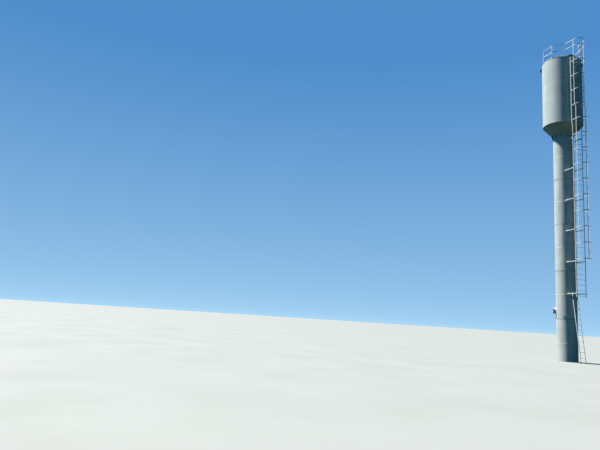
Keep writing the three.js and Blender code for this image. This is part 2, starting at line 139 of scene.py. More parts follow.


# %% [markdown]
# ## Enamel on plate
# The walls carry light grey alkyd enamel, put on with a roller and, near the welds, with a brush. It dries to
# a satin gloss with an index of refraction near 1.5. Years of rain leave pale chalk and faint vertical runs.
# Just above each round weld a dark line is painted, partly dirt and partly painted shade. On the column every
# second weld line is painted pale instead, as a painted highlight, so dark and light lines take turns. The
# streaks are stretched noise. The lines come from the height alone, because the plates are all 1.5 m tall.
# Roller grain is a millimetre wide, and is drawn ten times coarser.

# %% Enamel for the column and the tank
PLATE_TALL = 1.5
ENAMEL_IOR = 1.5
ENAMEL_PALE = "#ccd3d1"
ENAMEL_DEEP = "#bdc6c5"
ENAMEL_RUN = "#8f9b9b"
# The dark weld line is partly dirt and partly painted shade. The pale line is a painted highlight.
SEAM_DIRT_AND_SHADE = "#6f7a78"
SEAM_HIGHLIGHT = "#f2f5f4"
LINE_ABOVE_WELD = 0.016
RUN_STRETCH = (9.0, 9.0, 0.45)
STROKE_STRETCH = (60.0, 60.0, 4.0)
ROLLER_SCALE = 90.0
ROLLER_DEPTH = 0.0012
# The lines of a wall: the share of dirt and painted shade, their reach in metres, and the share of painted
# highlight.
COLUMN_LINES = (0.95, 0.055, 0.75)
TANK_LINES = (0.4, 0.028, 0.0)


def plate_enamel(name, first_seam, dirt_and_shade_share, line_reach, highlight_share):
    """Satin enamel with lines along its welds: dirt with painted shade, and on every second weld a painted
    highlight.
    """
    finish, tree, shader, place = new_finish(name)
    clouds = add_node(tree, "ShaderNodeTexNoise", {}, {"Vector": place, "Scale": 1.1, "Detail": 5.0})
    chalk = add_node(tree, "ShaderNodeMapRange", {},
                     {0: clouds.outputs["Fac"], 1: 0.38, 2: 0.62, 3: 0.0, 4: 1.0})
    base_coat = add_node(tree, "ShaderNodeMix", {"data_type": "RGBA"},
                         {0: chalk.outputs[0], 6: paint(ENAMEL_PALE), 7: paint(ENAMEL_DEEP)})
    tall = add_node(tree, "ShaderNodeMapping", {}, {"Vector": place, "Scale": RUN_STRETCH})
    runs = add_node(tree, "ShaderNodeTexNoise", {}, {"Vector": tall.outputs[0], "Scale": 1.0, "Detail": 6.0})
    run_share = add_node(tree, "ShaderNodeMapRange", {},
                         {0: runs.outputs["Fac"], 1: 0.54, 2: 0.78, 3: 0.0, 4: 0.55})
    streaked = add_node(tree, "ShaderNodeMix", {"data_type": "RGBA"},
                        {0: run_share.outputs[0], 6: base_coat.outputs[2], 7: paint(ENAMEL_RUN)})
    height = add_node(tree, "ShaderNodeSeparateXYZ", {}, {0: place})
    # Plates are counted with a weld line at each half, and with ten more so that no count is negative.
    courses = add_node(tree, "ShaderNodeMath", {"operation": "MULTIPLY_ADD"},
                       {0: height.outputs["Z"], 1: 1 / PLATE_TALL,
                        2: 10.5 - (first_seam + LINE_ABOVE_WELD) / PLATE_TALL})
    within = add_node(tree, "ShaderNodeMath", {"operation": "FRACT"}, {0: courses.outputs[0]})
    off_seam = add_node(tree, "ShaderNodeMath", {"operation": "SUBTRACT"}, {0: within.outputs[0], 1: 0.5})
    distance = add_node(tree, "ShaderNodeMath", {"operation": "ABSOLUTE"}, {0: off_seam.outputs[0]})
    near_seam = add_node(tree, "ShaderNodeMapRange", {"interpolation_type": "SMOOTHSTEP"},
                         {0: distance.outputs[0], 1: 0.0, 2: line_reach / PLATE_TALL, 3: 1.0, 4: 0.0})
    pairs = add_node(tree, "ShaderNodeMath", {"operation": "MULTIPLY"}, {0: courses.outputs[0], 1: 0.5})
    in_pair = add_node(tree, "ShaderNodeMath", {"operation": "FRACT"}, {0: pairs.outputs[0]})
    second = add_node(tree, "ShaderNodeMath", {"operation": "GREATER_THAN"},
                      {0: in_pair.outputs[0], 1: 0.5})
    highlight_on_second = add_node(tree, "ShaderNodeMath", {"operation": "MULTIPLY"},
                         {0: second.outputs[0], 1: highlight_share})
    highlight_mask = add_node(tree, "ShaderNodeMath", {"operation": "MULTIPLY"},
                         {0: near_seam.outputs[0], 1: highlight_on_second.outputs[0]})
    patches = add_node(tree, "ShaderNodeTexNoise", {}, {"Vector": place, "Scale": 3.5, "Detail": 3.0})
    patchy = add_node(tree, "ShaderNodeMapRange", {},
                      {0: patches.outputs["Fac"], 1: 0.35, 2: 0.62, 3: 0.2 * dirt_and_shade_share, 4: dirt_and_shade_share})
    dirt_and_shade = add_node(tree, "ShaderNodeMath", {"operation": "MULTIPLY"},
                    {0: near_seam.outputs[0], 1: patchy.outputs[0]})
    # Dirt and painted shade: a dark line just above each weld.
    dirtied_and_shaded = add_node(tree, "ShaderNodeMix", {"data_type": "RGBA"},
                         {0: dirt_and_shade.outputs[0], 6: streaked.outputs[2], 7: paint(SEAM_DIRT_AND_SHADE)})
    # Painted highlight: a pale line over every second weld of the column.
    with_highlight = add_node(tree, "ShaderNodeMix", {"data_type": "RGBA"},
                         {0: highlight_mask.outputs[0], 6: dirtied_and_shaded.outputs[2], 7: paint(SEAM_HIGHLIGHT)})
    gloss = add_node(tree, "ShaderNodeMapRange", {},
                     {0: clouds.outputs["Fac"], 1: 0.3, 2: 0.7, 3: 0.36, 4: 0.52})
    rolled = add_node(tree, "ShaderNodeTexNoise", {}, {"Vector": place, "Scale": ROLLER_SCALE, "Detail": 2.0})
    brushed = add_node(tree, "ShaderNodeMapping", {}, {"Vector": place, "Scale": STROKE_STRETCH})
    strokes = add_node(tree, "ShaderNodeTexNoise", {}, {"Vector": brushed.outputs[0], "Scale": 1.0})
    grain = add_node(tree, "ShaderNodeMath", {"operation": "ADD"},
                     {0: rolled.outputs["Fac"], 1: strokes.outputs["Fac"]})
    bump = add_node(tree, "ShaderNodeBump", {},
                    {"Height": grain.outputs[0], "Strength": 0.35, "Distance": ROLLER_DEPTH})
    tree.links.new(with_highlight.outputs[2], shader.inputs["Base Color"])
    tree.links.new(gloss.outputs[0], shader.inputs["Roughness"])
    tree.links.new(bump.outputs[0], shader.inputs["Normal"])
    shader.inputs["IOR"].default_value = ENAMEL_IOR
    return finish


column_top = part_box("column_course_10")[1].z
tank_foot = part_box("tank_course_1")[0].z
column_enamel = plate_enamel("column_alkyd_enamel", column_top, *COLUMN_LINES)
tank_enamel = plate_enamel("tank_alkyd_enamel", tank_foot, *TANK_LINES)
print("enamel with weld lines from", round(column_top, 2), "and", round(tank_foot, 2), "m")

# %% [markdown]
# ## Enamel on bars, dark primer as painted shade, and zinc
# Bars and angles get the same enamel with a brush. On their narrow faces it is thinner at the edges, so a
# small noise darkens it here and there. Weld metal is painted over but stays rough. The roof's enamel is
# duller, and darker as painted shade, so that its top does not go white under the high key. The lugs, the
# drain and the cone's stiffening plates get a dark primer colour, which is painted shade on faces that lie
# in shade. The hatch is dark green. Bolts are zinc plated, a metal with a soft grain. Brush marks are half a
# millimetre wide, and are drawn at 6 mm so that they show.

# %% Finishes for the smaller pieces
BRUSH_SCALE = 160.0


def brushed_finish(name, light, dark, grain_size, roughness, bump_depth, metallic=0.0):
    """A brushed-on finish that drifts between two colours over patches of a size given in metres."""
    finish, tree, shader, place = new_finish(name)
    patches = add_node(tree, "ShaderNodeTexNoise", {},
                       {"Vector": place, "Scale": 1 / grain_size, "Detail": 6.0})
    share = add_node(tree, "ShaderNodeMapRange", {},
                     {0: patches.outputs["Fac"], 1: 0.36, 2: 0.66, 3: 0.0, 4: 1.0})
    mixed = add_node(tree, "ShaderNodeMix", {"data_type": "RGBA"},
                     {0: share.outputs[0], 6: paint(light), 7: paint(dark)})
    rough = add_node(tree, "ShaderNodeMapRange", {},
                     {0: patches.outputs["Fac"], 1: 0.3, 2: 0.7, 3: roughness - 0.07, 4: roughness + 0.09})
    fine = add_node(tree, "ShaderNodeTexNoise", {}, {"Vector": place, "Scale": BRUSH_SCALE, "Detail": 3.0})
    bump = add_node(tree, "ShaderNodeBump", {},
                    {"Height": fine.outputs["Fac"], "Strength": 0.5, "Distance": bump_depth})
    tree.links.new(mixed.outputs[2], shader.inputs["Base Color"])
    tree.links.new(rough.outputs[0], shader.inputs["Roughness"])
    tree.links.new(bump.outputs[0], shader.inputs["Normal"])
    shader.inputs["Metallic"].default_value = metallic
    return finish


rail_enamel = brushed_finish("brushed_alkyd_enamel_on_bars", "#d6dad8", "#b4bcbb", 0.22, 0.42, 0.0006)
weld_enamel = brushed_finish("enamel_over_weld_metal", "#dce1df", "#b4bcb9", 0.05, 0.5, 0.0015)
# Dark primer colour on the lugs, the drain and the stiffening plates: painted shade.
primer_painted_shade = brushed_finish("dark_primer_painted_shade", "#3f4549", "#2c2f31", 0.06, 0.6, 0.0012)
# The roof is painted darker as painted shade, so that its top does not go white under the high key.
roof_enamel_painted_shade = brushed_finish("roof_enamel_darkened_as_painted_shade", "#9da29d", "#7f8681", 0.4, 0.66, 0.001)
hatch_enamel = brushed_finish("dark_green_enamel_on_hatch", "#4c6e6a", "#3b5855", 0.08, 0.5, 0.0006)
plated_zinc = brushed_finish("zinc_plated_steel", "#b9bdbe", "#959b9d", 0.02, 0.5, 0.0004, metallic=0.75)
rubber = brushed_finish("black_sheet_rubber", "#26282a", "#1b1c1e", 0.03, 0.75, 0.0008)
print("finishes", len(bpy.data.materials))

# %% [markdown]
# ## From a bmesh to a piece
# Each piece is made as a bmesh and handed over here. It becomes an object at the origin with its place in
# its mesh, gets its finish, rides on the tower's one body, and may hide the CAD nodes that it stands for.
# Round walls shade smoothly, and edges sharper than 35 degrees stay crisp. Small parts with one finish are
# gathered into one piece, because hundreds of single bolts would make a long list.

# %% Helpers for pieces
SHARP = math.radians(35)


def finished(name, shape, finish, nodes=()):
    """Makes a bmesh into a piece of the tower."""
    mesh = bpy.data.meshes.new(name)
    shape.to_mesh(mesh)
    shape.free()
    mesh.shade_smooth()
    mesh.set_sharp_from_angle(angle=SHARP)
    mesh.materials.append(finish)
    piece = bpy.data.objects.new(name, mesh)
    bpy.context.scene.collection.objects.link(piece)
    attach(piece, "root")
    if nodes:
        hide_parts(*nodes)


def gathered(shapes):
    """Puts several bmeshes into one."""
    whole = bmesh.new()
    for shape in shapes:
        part = bpy.data.meshes.new("part")
        shape.to_mesh(part)
        shape.free()
        whole.from_mesh(part)
        bpy.data.meshes.remove(part)
    return whole


def placed(shape, place):
    """Takes a bmesh to its place by a matrix."""
    bmesh.ops.transform(shape, matrix=place, verts=shape.verts)
    return shape


# %% [markdown]
# ## Round walls
# Plates, cone, roof, flanges and the welds between them are all round. A cylinder would do for a plain ring,
# but a closed outline that is spun can also have a step or a small round at its edge. A full spin ends where
# it began, so its doubles are merged, and its faces are turned outwards after that.

# %% Helpers for round walls
MERGE = 1e-6


def outlined(shape, corners):
    """Adds a closed outline to a bmesh, and returns its corners and its edges."""
    points = [shape.verts.new(corner) for corner in corners]
    return points, [shape.edges.new(pair) for pair in zip(points, points[1:] + points[:1])]


def turned(corners, centre, axis, steps):
    """Spins a closed outline once round an axis."""
    shape = bmesh.new()
    points, edges = outlined(shape, corners)
    bmesh.ops.spin(shape, geom=points + edges, cent=centre, axis=axis, angle=2 * math.pi, steps=steps,
                   use_merge=True)
    bmesh.ops.remove_doubles(shape, verts=shape.verts, dist=MERGE)
    bmesh.ops.recalc_face_normals(shape, faces=shape.faces)
    return shape


def spun(outline, steps):
    """Spins a closed outline of (radius, height) corners once round the tower's axis."""
    return turned([(0, -radius, height) for radius, height in outline], (0, 0, 0), (0, 0, 1), steps)


def steps_between(low, high, count):
    """Evenly spaced numbers from low to high, with both ends."""
    return [low + (high - low) * k / count for k in range(count + 1)]


def farthest(node):
    """The largest distance of a CAD node's corners from the tower's axis."""
    return max(math.hypot(v.co.x, v.co.y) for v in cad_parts[node].data.vertices)


# %% [markdown]
# ## Bars, blocks and copies
# A round bar is a cone with equal ends, turned to point from one end to the other. A block is a cube with
# rounded edges. Steel that touches reaches a millimetre or two into its neighbour, as a weld would join it.
# A part that comes many times is made once and copied with a matrix for each place.

# %% Helpers for bars, blocks and copies
def rounded(shape, edges, width, clamp=False):
    """Bevels edges to a small round."""
    bmesh.ops.bevel(shape, geom=edges, offset=width, affect="EDGES", segments=2, profile=0.5, material=-1,
                    clamp_overlap=clamp)


def pointing(place, way):
    """The matrix that takes a pattern to a place and turns its +Z towards a way, with its +Y kept upwards."""
    return Matrix.Translation(place) @ way.to_track_quat("Z", "Y").to_matrix().to_4x4()


def add_cone(shape, sides, low_radius, high_radius, tall, place=Matrix.Identity(4)):
    """Adds a capped cone to a bmesh, with its middle taken to a place by a matrix."""
    bmesh.ops.create_cone(shape, cap_ends=True, segments=sides, radius1=low_radius, radius2=high_radius,
                          depth=tall, matrix=place)


def rod(start, end, radius, sides=12):
    """A straight round bar from one point to another."""
    run = end - start
    shape = bmesh.new()
    add_cone(shape, sides, radius, radius, run.length, pointing((start + end) / 2, run))
    return shape


def block(size, place, edge):
    """A box of a given size, with its edges rounded, taken to its place by a matrix."""
    shape = bmesh.new()
    bmesh.ops.create_cube(shape, size=1, matrix=Matrix.Diagonal((*size, 1)))
    rounded(shape, shape.edges[:], edge)
    return placed(shape, place)


def copies(pattern, places):
    """Copies a bmesh to each place, given as a matrix, and returns all of them as one bmesh."""
    stamp = bpy.data.meshes.new("pattern")
    pattern.to_mesh(stamp)
    pattern.free()
    whole = bmesh.new()
    for place in places:
        copy = stamp.copy()
        copy.transform(place)
        whole.from_mesh(copy)
        bpy.data.meshes.remove(copy)
    bpy.data.meshes.remove(stamp)
    return whole


# %% [markdown]
# ## Holes
# The manhole and the drain are cut through the rolled plate. A Boolean modifier takes the drills away, which
# leaves a clean edge wherever the hole falls, and a bmesh reads the result back to be finished as the rest.

# %% Helper for holes
def bored(shape, drills):
    """Cuts round holes through a bmesh. A drill is its two ends and its radius."""
    bits = gathered([rod(start, end, radius, 48) for start, end, radius in drills])
    meshes = [bpy.data.meshes.new("solid"), bpy.data.meshes.new("drill")]
    solid, drill = [bpy.data.objects.new(mesh.name, mesh) for mesh in meshes]
    for part, mesh in zip((shape, bits), meshes):
        part.to_mesh(mesh)
        part.free()
    bpy.context.scene.collection.objects.link(solid)
    bpy.context.scene.collection.objects.link(drill)
    boolean = solid.modifiers.new("holes", "BOOLEAN")
    boolean.operation = "DIFFERENCE"
    boolean.object = drill
    result = bmesh.new()
    result.from_object(solid, bpy.context.evaluated_depsgraph_get())
    for mesh in meshes:
        bpy.data.meshes.remove(mesh)
    return result


# %% [markdown]
# ## Rolled plate
# A ring of the column is one plate rolled to a cylinder and closed with an upright weld. Rolling leaves the
# two ends of the plate a little flat, so the ring peaks by a few millimetres at that weld, and the whole
# wall is out of round by about a millimetre. Both show in how the light bends over the paint. The outline of
# the wall is spun round the axis in 192 steps, which no longer shows flat sides, and then each corner is
# moved in or out. The tank is wider, so each of its rings is two plates with two upright welds.

# %% Column and tank walls
WALL_STEPS = 192
ROWS_PER_PLATE = 14
WAVE_DEPTH = 0.0014
WAVE_SCALE = 1.9
COLUMN_WALL = 0.006
TANK_WALL = 0.005
COLUMN_WELDS = [[62], [-152], [148], [-12], [166], [-49], [118], [-104], [28], [172]]
TANK_WELDS = [[16, -164], [100, -80], [40, -140]]
COLUMN_FLAT_END = 6.0
TANK_FLAT_END = 3.0
BENT_PLATE = "column_course_6"
BENT_FLAT_END = 9.5
BENT_REACH = 0.3
DRILL_ENDS = (0.5, 0.7)
MANHOLE_BORE = 0.18
DRAIN_BORE = 0.033
column_radius = farthest("column_course_1")
tank_radius = farthest("tank_course_1")


def turn_between(a, b):
    """The angle in degrees from one bearing to another, the short way round."""
    return abs((a - b + 180) % 360 - 180)


def peak(bearing, radius, welds, flat_end):
    """How far the flat ends of a rolled plate stand out beyond the circle, at the upright welds."""
    nearest = min(turn_between(bearing, weld) for weld in welds)
    return radius * math.radians(max(0.0, flat_end - nearest)) ** 2 / 2


def rolled_ring(radius, wall, low, high, welds, flat_end, bent):
    """One ring of rolled plate, slightly wavy, and peaked at its upright welds."""
    outer = [(radius, z) for z in steps_between(low, high, ROWS_PER_PLATE)]
    shape = spun([*outer, (radius - wall, high), (radius - wall, low)], WALL_STEPS)
    for corner in shape.verts:
        bearing = math.degrees(math.atan2(corner.co.x, -corner.co.y))
        grown = WAVE_DEPTH * noise.noise(corner.co * WAVE_SCALE)
        grown += peak(bearing, radius, welds, flat_end)
        if bent:
            hold = max(0.0, 1 - (high - corner.co.z) / BENT_REACH)
            grown += hold * peak(bearing, radius, welds, BENT_FLAT_END)
        corner.co.xy *= 1 + grown / radius
    return shape


def fitting(node):
    """The middle height, bearing and outer radius of a round CAD fitting that stands out from the column."""
    low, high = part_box(node)
    middle = (low + high) / 2
    return middle.z, math.degrees(math.atan2(middle.x, -middle.y)), (high.z - low.z) / 2


manhole_height, manhole_bearing, flange_radius = fitting("manhole_neck")
drain_height, drain_bearing, drain_radius = fitting("drain_socket")
holes = []
for bearing, height, bore in ((manhole_bearing, manhole_height, MANHOLE_BORE),
                              (drain_bearing, drain_height, DRAIN_BORE)):
    holes.append((*[from_axis(bearing, out, height) for out in DRILL_ENDS], bore))
for part, plates, radius, wall, flat_end, enamel in (
        ("column", COLUMN_WELDS, column_radius, COLUMN_WALL, COLUMN_FLAT_END, column_enamel),
        ("tank", TANK_WELDS, tank_radius, TANK_WALL, TANK_FLAT_END, tank_enamel)):
    for number, welds in enumerate(plates, start=1):
        node = f"{part}_course_{number}"
        low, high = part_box(node)
        ring = rolled_ring(radius, wall, low.z, high.z, welds, flat_end, node == BENT_PLATE)
        if low.z < manhole_height < high.z:
            ring = bored(ring, holes)
        finished(f"{part}_plate_{number}", ring, enamel, [node])
print("walls", len(COLUMN_WELDS) + len(TANK_WELDS), "radii", round(column_radius, 3), round(tank_radius, 3))

# %% [markdown]
# ## Cone and stiffening plates
# The cone is cut from plate and welded between the column and the tank. Twelve small triangles of plate
# stiffen the corner under it, in a dark primer colour that is painted shade under the cone. The cone is
# spun like the rings. One triangle is extruded from three corners, its edges are rounded a little, and then
# it is copied round.

# %% Cone
CONE_ROWS = 10
GUSSETS = 12
FIRST_GUSSET = 12
GUSSET_PLATE = 0.008
GUSSET_REACH = 0.11
GUSSET_EDGE = 0.0015
MILLIMETRE = 0.001


def only(parts, kind):
    """The corners or the edges among the parts of a bmesh."""
    return [part for part in parts if isinstance(part, kind)]


def extruded(corners, shift):
    """A flat face through corners, extruded along a shift."""
    shape = bmesh.new()
    face = shape.faces.new([shape.verts.new(corner) for corner in corners])
    grown = bmesh.ops.extrude_face_region(shape, geom=[face])["geom"]
    bmesh.ops.translate(shape, vec=shift, verts=only(grown, bmesh.types.BMVert))
    bmesh.ops.recalc_face_normals(shape, faces=shape.faces)
    return shape


cone_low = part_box("tank_cone")[0].z
slope = (tank_foot - column_top) / (tank_radius - column_radius)
outer = zip(steps_between(column_radius, tank_radius, CONE_ROWS),
            steps_between(column_top, tank_foot, CONE_ROWS))
inner = [(tank_radius - COLUMN_WALL, tank_foot), (column_radius - COLUMN_WALL, column_top)]
cone = spun([*outer, *inner], WALL_STEPS)
gusset_root = column_radius - 2 * MILLIMETRE
triangle = ((gusset_root, cone_low), (column_radius + GUSSET_REACH, column_top + GUSSET_REACH * slope),
            (gusset_root, column_top))
gusset = extruded([(-GUSSET_PLATE / 2, -out, z) for out, z in triangle], (GUSSET_PLATE, 0, 0))
rounded(gusset, gusset.edges[:], GUSSET_EDGE)
gusset_bearings = [FIRST_GUSSET + k * 360 / GUSSETS for k in range(GUSSETS)]
gussets = copies(gusset, [Matrix.Rotation(math.radians(b), 4, "Z") for b in gusset_bearings])
finished("tank_cone_plate", cone, tank_enamel, ["tank_cone"])
# Painted shade: the stiffening plates are dark where the cone shades them.
finished("cone_stiffeners", gussets, primer_painted_shade)
print("cone from", round(column_top, 2), "to", round(tank_foot, 2), "m with", GUSSETS, "stiffeners")

# %% [markdown]
# ## Weld beads
# A weld bead is a low ridge with fine ripples, one for each short stop in the welding. Round welds are a
# small outline spun round the axis. Straight welds are a thin rod that lies half in the plates: a cone with
# equal ends, cut into many rings that swell and shrink in turn. Real ripples are 3 mm apart, and here they
# are drawn wider so that they cost few faces. The tank's beads are ground nearly flush. All beads on a wall
# carry its enamel, so its painted lines of dirt, painted shade and painted highlight run on over them.

# %% Weld beads on the walls
ROUND_WELD_STEPS = 360
RIPPLE_PITCH = 0.012
RIPPLE_SWELL = 0.16
BEAD_ROOT = 0.003
BEAD_WANDER = 0.002
# Round welds: their width, and how far they stand proud.
COLUMN_ROUND_WELD = (0.022, 0.005)
TANK_FOOT_WELD = (0.022, 0.003)
TANK_ROUND_WELD = (0.016, 0.0015)
# Upright welds: their thickness, and how deep their middle lies in the plate.
COLUMN_UPRIGHT = (0.007, 0.003)
TANK_UPRIGHT = (0.005, 0.0035)
GUSSET_WELD = 0.006
GUSSET_WELD_GAP = 0.01


def round_weld(radius, height, width, proud):
    """A rippled bead that runs round a wall."""
    half = width / 2
    outline = [(radius - BEAD_ROOT, height - half), (radius, height - half),
               (radius + 0.8 * proud, height - half / 2), (radius + proud, height),
               (radius + 0.8 * proud, height + half / 2), (radius, height + half),
               (radius - BEAD_ROOT, height + half)]
    shape = spun(outline, ROUND_WELD_STEPS)
    for corner in shape.verts:
        ripple = noise.noise(corner.co * 40) * 0.3 * proud
        corner.co.xy *= 1 + ripple / radius
        corner.co.z += noise.noise(corner.co * 6) * BEAD_WANDER
    return shape


def weld_line(start, end, thickness):
    """A straight rippled bead from one point to another."""
    run = end - start
    rings = max(3, int(run.length / RIPPLE_PITCH))
    shape = bmesh.new()
    add_cone(shape, 8, thickness, thickness, run.length)
    sides = [e for e in shape.edges if abs(e.verts[0].co.z - e.verts[1].co.z) > run.length / 2]
    bmesh.ops.subdivide_edges(shape, edges=sides, cuts=rings, use_grid_fill=False)
    for corner in shape.verts:
        swell = 1 + RIPPLE_SWELL * noise.noise(Vector((start.x * 7, start.z * 7, corner.co.z * 90)))
        ending = min(1.0, (run.length / 2 - abs(corner.co.z)) / thickness + 0.35)
        corner.co.xy *= swell * ending
    return placed(shape, pointing((start + end) / 2, run))


def wall_beads(part, plates, radius, flat_end, tops, round_size, upright_size):
    """The beads of a wall: round ones on a number of plates' tops, and the upright ones of every plate."""
    beads = []
    thickness, sunk = upright_size
    for number, welds in enumerate(plates, start=1):
        low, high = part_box(f"{part}_course_{number}")
        if number <= tops:
            beads.append(round_weld(radius, high.z, *round_size))
        for weld in welds:
            out = radius + peak(weld, radius, welds, flat_end) - sunk
            beads.append(weld_line(from_axis(weld, out, low.z), from_axis(weld, out, high.z), thickness))
    return beads


beads = wall_beads("column", COLUMN_WELDS, column_radius, COLUMN_FLAT_END, len(COLUMN_WELDS),
                   COLUMN_ROUND_WELD, COLUMN_UPRIGHT)
finished("column_welds", gathered(beads), column_enamel)
beads = [round_weld(tank_radius, tank_foot, *TANK_FOOT_WELD)]
beads += wall_beads("tank", TANK_WELDS, tank_radius, TANK_FLAT_END, len(TANK_WELDS) - 1, TANK_ROUND_WELD,
                    TANK_UPRIGHT)
reach = GUSSET_REACH - GUSSET_WELD_GAP
for bearing in gusset_bearings:
    for side in (-1, 1):
        shift = Matrix.Rotation(math.radians(bearing), 3, "Z") @ Vector((side * GUSSET_PLATE / 2, 0, 0))
        foot = from_axis(bearing, column_radius, cone_low + GUSSET_WELD_GAP) + shift
        corner = from_axis(bearing, column_radius, column_top) + shift
        tip = from_axis(bearing, column_radius + reach, column_top + reach * slope) + shift
        beads += [weld_line(foot, corner, GUSSET_WELD), weld_line(corner, tip, GUSSET_WELD)]
finished("tank_welds", gathered(beads), tank_enamel)
print("weld beads made")

# %% [markdown]
# ## Roof and hatch
# The roof is a very flat cone of plate with a level rim for the railing posts. A round curb near the ladder
# carries a lid. The lid has a skirt that keeps rain out, two strap hinges at the back and a bent bar for a
# handle at the front. All the round parts are spun. The handle is a straight rod for each of its lengths,
# with a ball at each bend.

# %% Roof
ON_AXIS = 0.001
ROOF_PLATE = 0.005
ROOF_LIP = 0.004
RIM_WIDTH = 0.1
FITTING_STEPS = 96
HATCH_SKIRT = 0.022
SKIRT_PLATE = 0.004
# Handles: half their length, their height, and the radius of the bar.
HATCH_HANDLE = (0.06, 0.035, 0.006)
HINGE_X = 0.07
HINGE_OUT = 0.016
HINGE_DROP = 0.02
HINGE_STRAP = (0.04, 0.2, 0.006)
HINGE_SHELF = (0.03, 0.046, 0.006)
HINGE_PIN = 0.009
roof_low, roof_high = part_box("tank_roof")
curb_low, curb_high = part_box("roof_hatch_curb")
lid_low, lid_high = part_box("roof_hatch_lid")
rim = tank_radius - RIM_WIDTH
eaves = tank_radius + ROOF_LIP
roof_edge = roof_low.z + ROOF_PLATE
roof = spun([(ON_AXIS, roof_high.z - ROOF_PLATE), (rim, roof_low.z), (eaves, roof_low.z), (eaves, roof_edge),
             (rim, roof_edge), (ON_AXIS, roof_high.z)], WALL_STEPS)
# The roof's darker colour is painted shade.
finished("roof_plate", roof, roof_enamel_painted_shade, ["tank_roof"])

hatch_y = (curb_low.y + curb_high.y) / 2
curb_radius = (curb_high.x - curb_low.x) / 2
lid_radius = (lid_high.x - lid_low.x) / 2
to_hatch = Matrix.Translation((0, hatch_y, 0))
curb_inner = curb_radius - TANK_WALL
curb_top = lid_low.z - MILLIMETRE
curb = spun([(curb_inner, roof_low.z), (curb_radius, roof_low.z), (curb_radius, curb_top),
             (curb_inner, curb_top)], FITTING_STEPS)
finished("hatch_curb", placed(curb, to_hatch), hatch_enamel, ["roof_hatch_curb"])
skirt_inner = lid_radius - SKIRT_PLATE
skirt_low = lid_low.z - HATCH_SKIRT
lid = spun([(ON_AXIS, lid_low.z), (skirt_inner, lid_low.z), (skirt_inner, skirt_low), (lid_radius, skirt_low),
            (lid_radius, lid_high.z - 2 * MILLIMETRE), (lid_radius - 2 * MILLIMETRE, lid_high.z),
            (ON_AXIS, lid_high.z)], FITTING_STEPS)
finished("hatch_lid", placed(lid, to_hatch), hatch_enamel, ["roof_hatch_lid"])


def handle(y, face, half, tall, radius):
    """A round bar bent to a handle that stands on a face and lies along X."""
    root = face - 2 * MILLIMETRE
    corners = [Vector((x, y, z)) for x, z in ((-half, root), (-half, face + tall), (half, face + tall),
                                              (half, root))]
    lengths = [rod(start, end, radius) for start, end in zip(corners, corners[1:])]
    bends = bmesh.new()
    for corner in corners[1:-1]:
        bmesh.ops.create_uvsphere(bends, u_segments=12, v_segments=8, radius=radius,
                                  matrix=Matrix.Translation(corner))
    return gathered([*lengths, bends])


fittings = [handle(hatch_y - 0.6 * lid_radius, lid_high.z, *HATCH_HANDLE)]
knuckle_y = hatch_y + lid_radius + HINGE_OUT
shelf_y = (hatch_y + curb_radius + knuckle_y) / 2
top = lid_high.z + HINGE_STRAP[2] / 2
under = skirt_low - HINGE_DROP
for x in (-HINGE_X, HINGE_X):
    strap_at = Matrix.Translation((x, knuckle_y - HINGE_STRAP[1] / 2, top))
    pin = [Vector((x + reach, knuckle_y, top)) for reach in (-0.03, 0.03)]
    upright_at = Matrix.Translation((x, knuckle_y, (under + top) / 2))
    fittings += [
        block(HINGE_STRAP, strap_at, MILLIMETRE),
        rod(*pin, HINGE_PIN),
        block(HINGE_SHELF, Matrix.Translation((x, shelf_y, under)), MILLIMETRE),
        block((HINGE_SHELF[0], HINGE_SHELF[2], top - under), upright_at, MILLIMETRE),
    ]
finished("hatch_handle_and_hinges", gathered(fittings), hatch_enamel)
print("roof rises", round(roof_high.z - roof_low.z, 3), "m, hatch radius", round(curb_radius, 3))

# %% [markdown]
# ## Straight bars and their edges
# Rolled and folded sections never have knife edges: a flat bar has a radius of about a millimetre. The arms,
# the railing and the lugs have the right shape in CAD, so each is a copy of the CAD mesh, merged into proper
# faces, with its outward edges bevelled. That keeps the cut ends that follow the round walls.

# %% Bevelled copies
ARM_EDGE = 0.0012
RAIL_EDGE = 0.002


def softened(node, width):
    """A copy of a CAD node with its triangles joined to flat faces and its outward edges bevelled."""
    shape = bmesh.new()
    shape.from_mesh(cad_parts[node].data)
    bmesh.ops.remove_doubles(shape, verts=shape.verts, dist=1e-5)
    bmesh.ops.dissolve_limit(shape, angle_limit=math.radians(0.5), verts=shape.verts, edges=shape.edges)
    outward = [e for e in shape.edges if e.is_manifold and e.is_convex]
    rounded(shape, [e for e in outward if e.calc_face_angle() > math.radians(25)], width, clamp=True)
    return shape


def softened_nodes(start, new_start, width, finish):
    """Makes a bevelled copy of each CAD node whose name has a given start, and returns the nodes."""
    nodes = sorted(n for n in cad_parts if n.startswith(start))
    for node in nodes:
        finished(node.replace(start, new_start), softened(node, width), finish, [node])
    return nodes


arm_nodes = softened_nodes("ladder_arm", "angle_arm", ARM_EDGE, rail_enamel)
rail_nodes = softened_nodes("railing", "roof_railing", RAIL_EDGE, rail_enamel)
# Painted shade: the lugs are dark because their faces lie in shade.
lug_nodes = softened_nodes("lifting", "welded", RAIL_EDGE, primer_painted_shade)
print("bevelled", len(arm_nodes), "arms,", len(rail_nodes), "railing panels and", len(lug_nodes), "lugs")

# %% [markdown]
# ## Ladder
# The stiles are steel angle, one leg beside the rungs and one in front. The rungs are 22 mm round bar that
# pokes into the legs and is welded round. A stile is the outline of the angle, extruded up. A rung is a
# cone with equal ends. Its weld is a small triangle spun round it. Beside the tank the ladder stands nearer
# to the wall, so the top length is bent: a plane cuts the stiles at both bends, and what is above slides in.

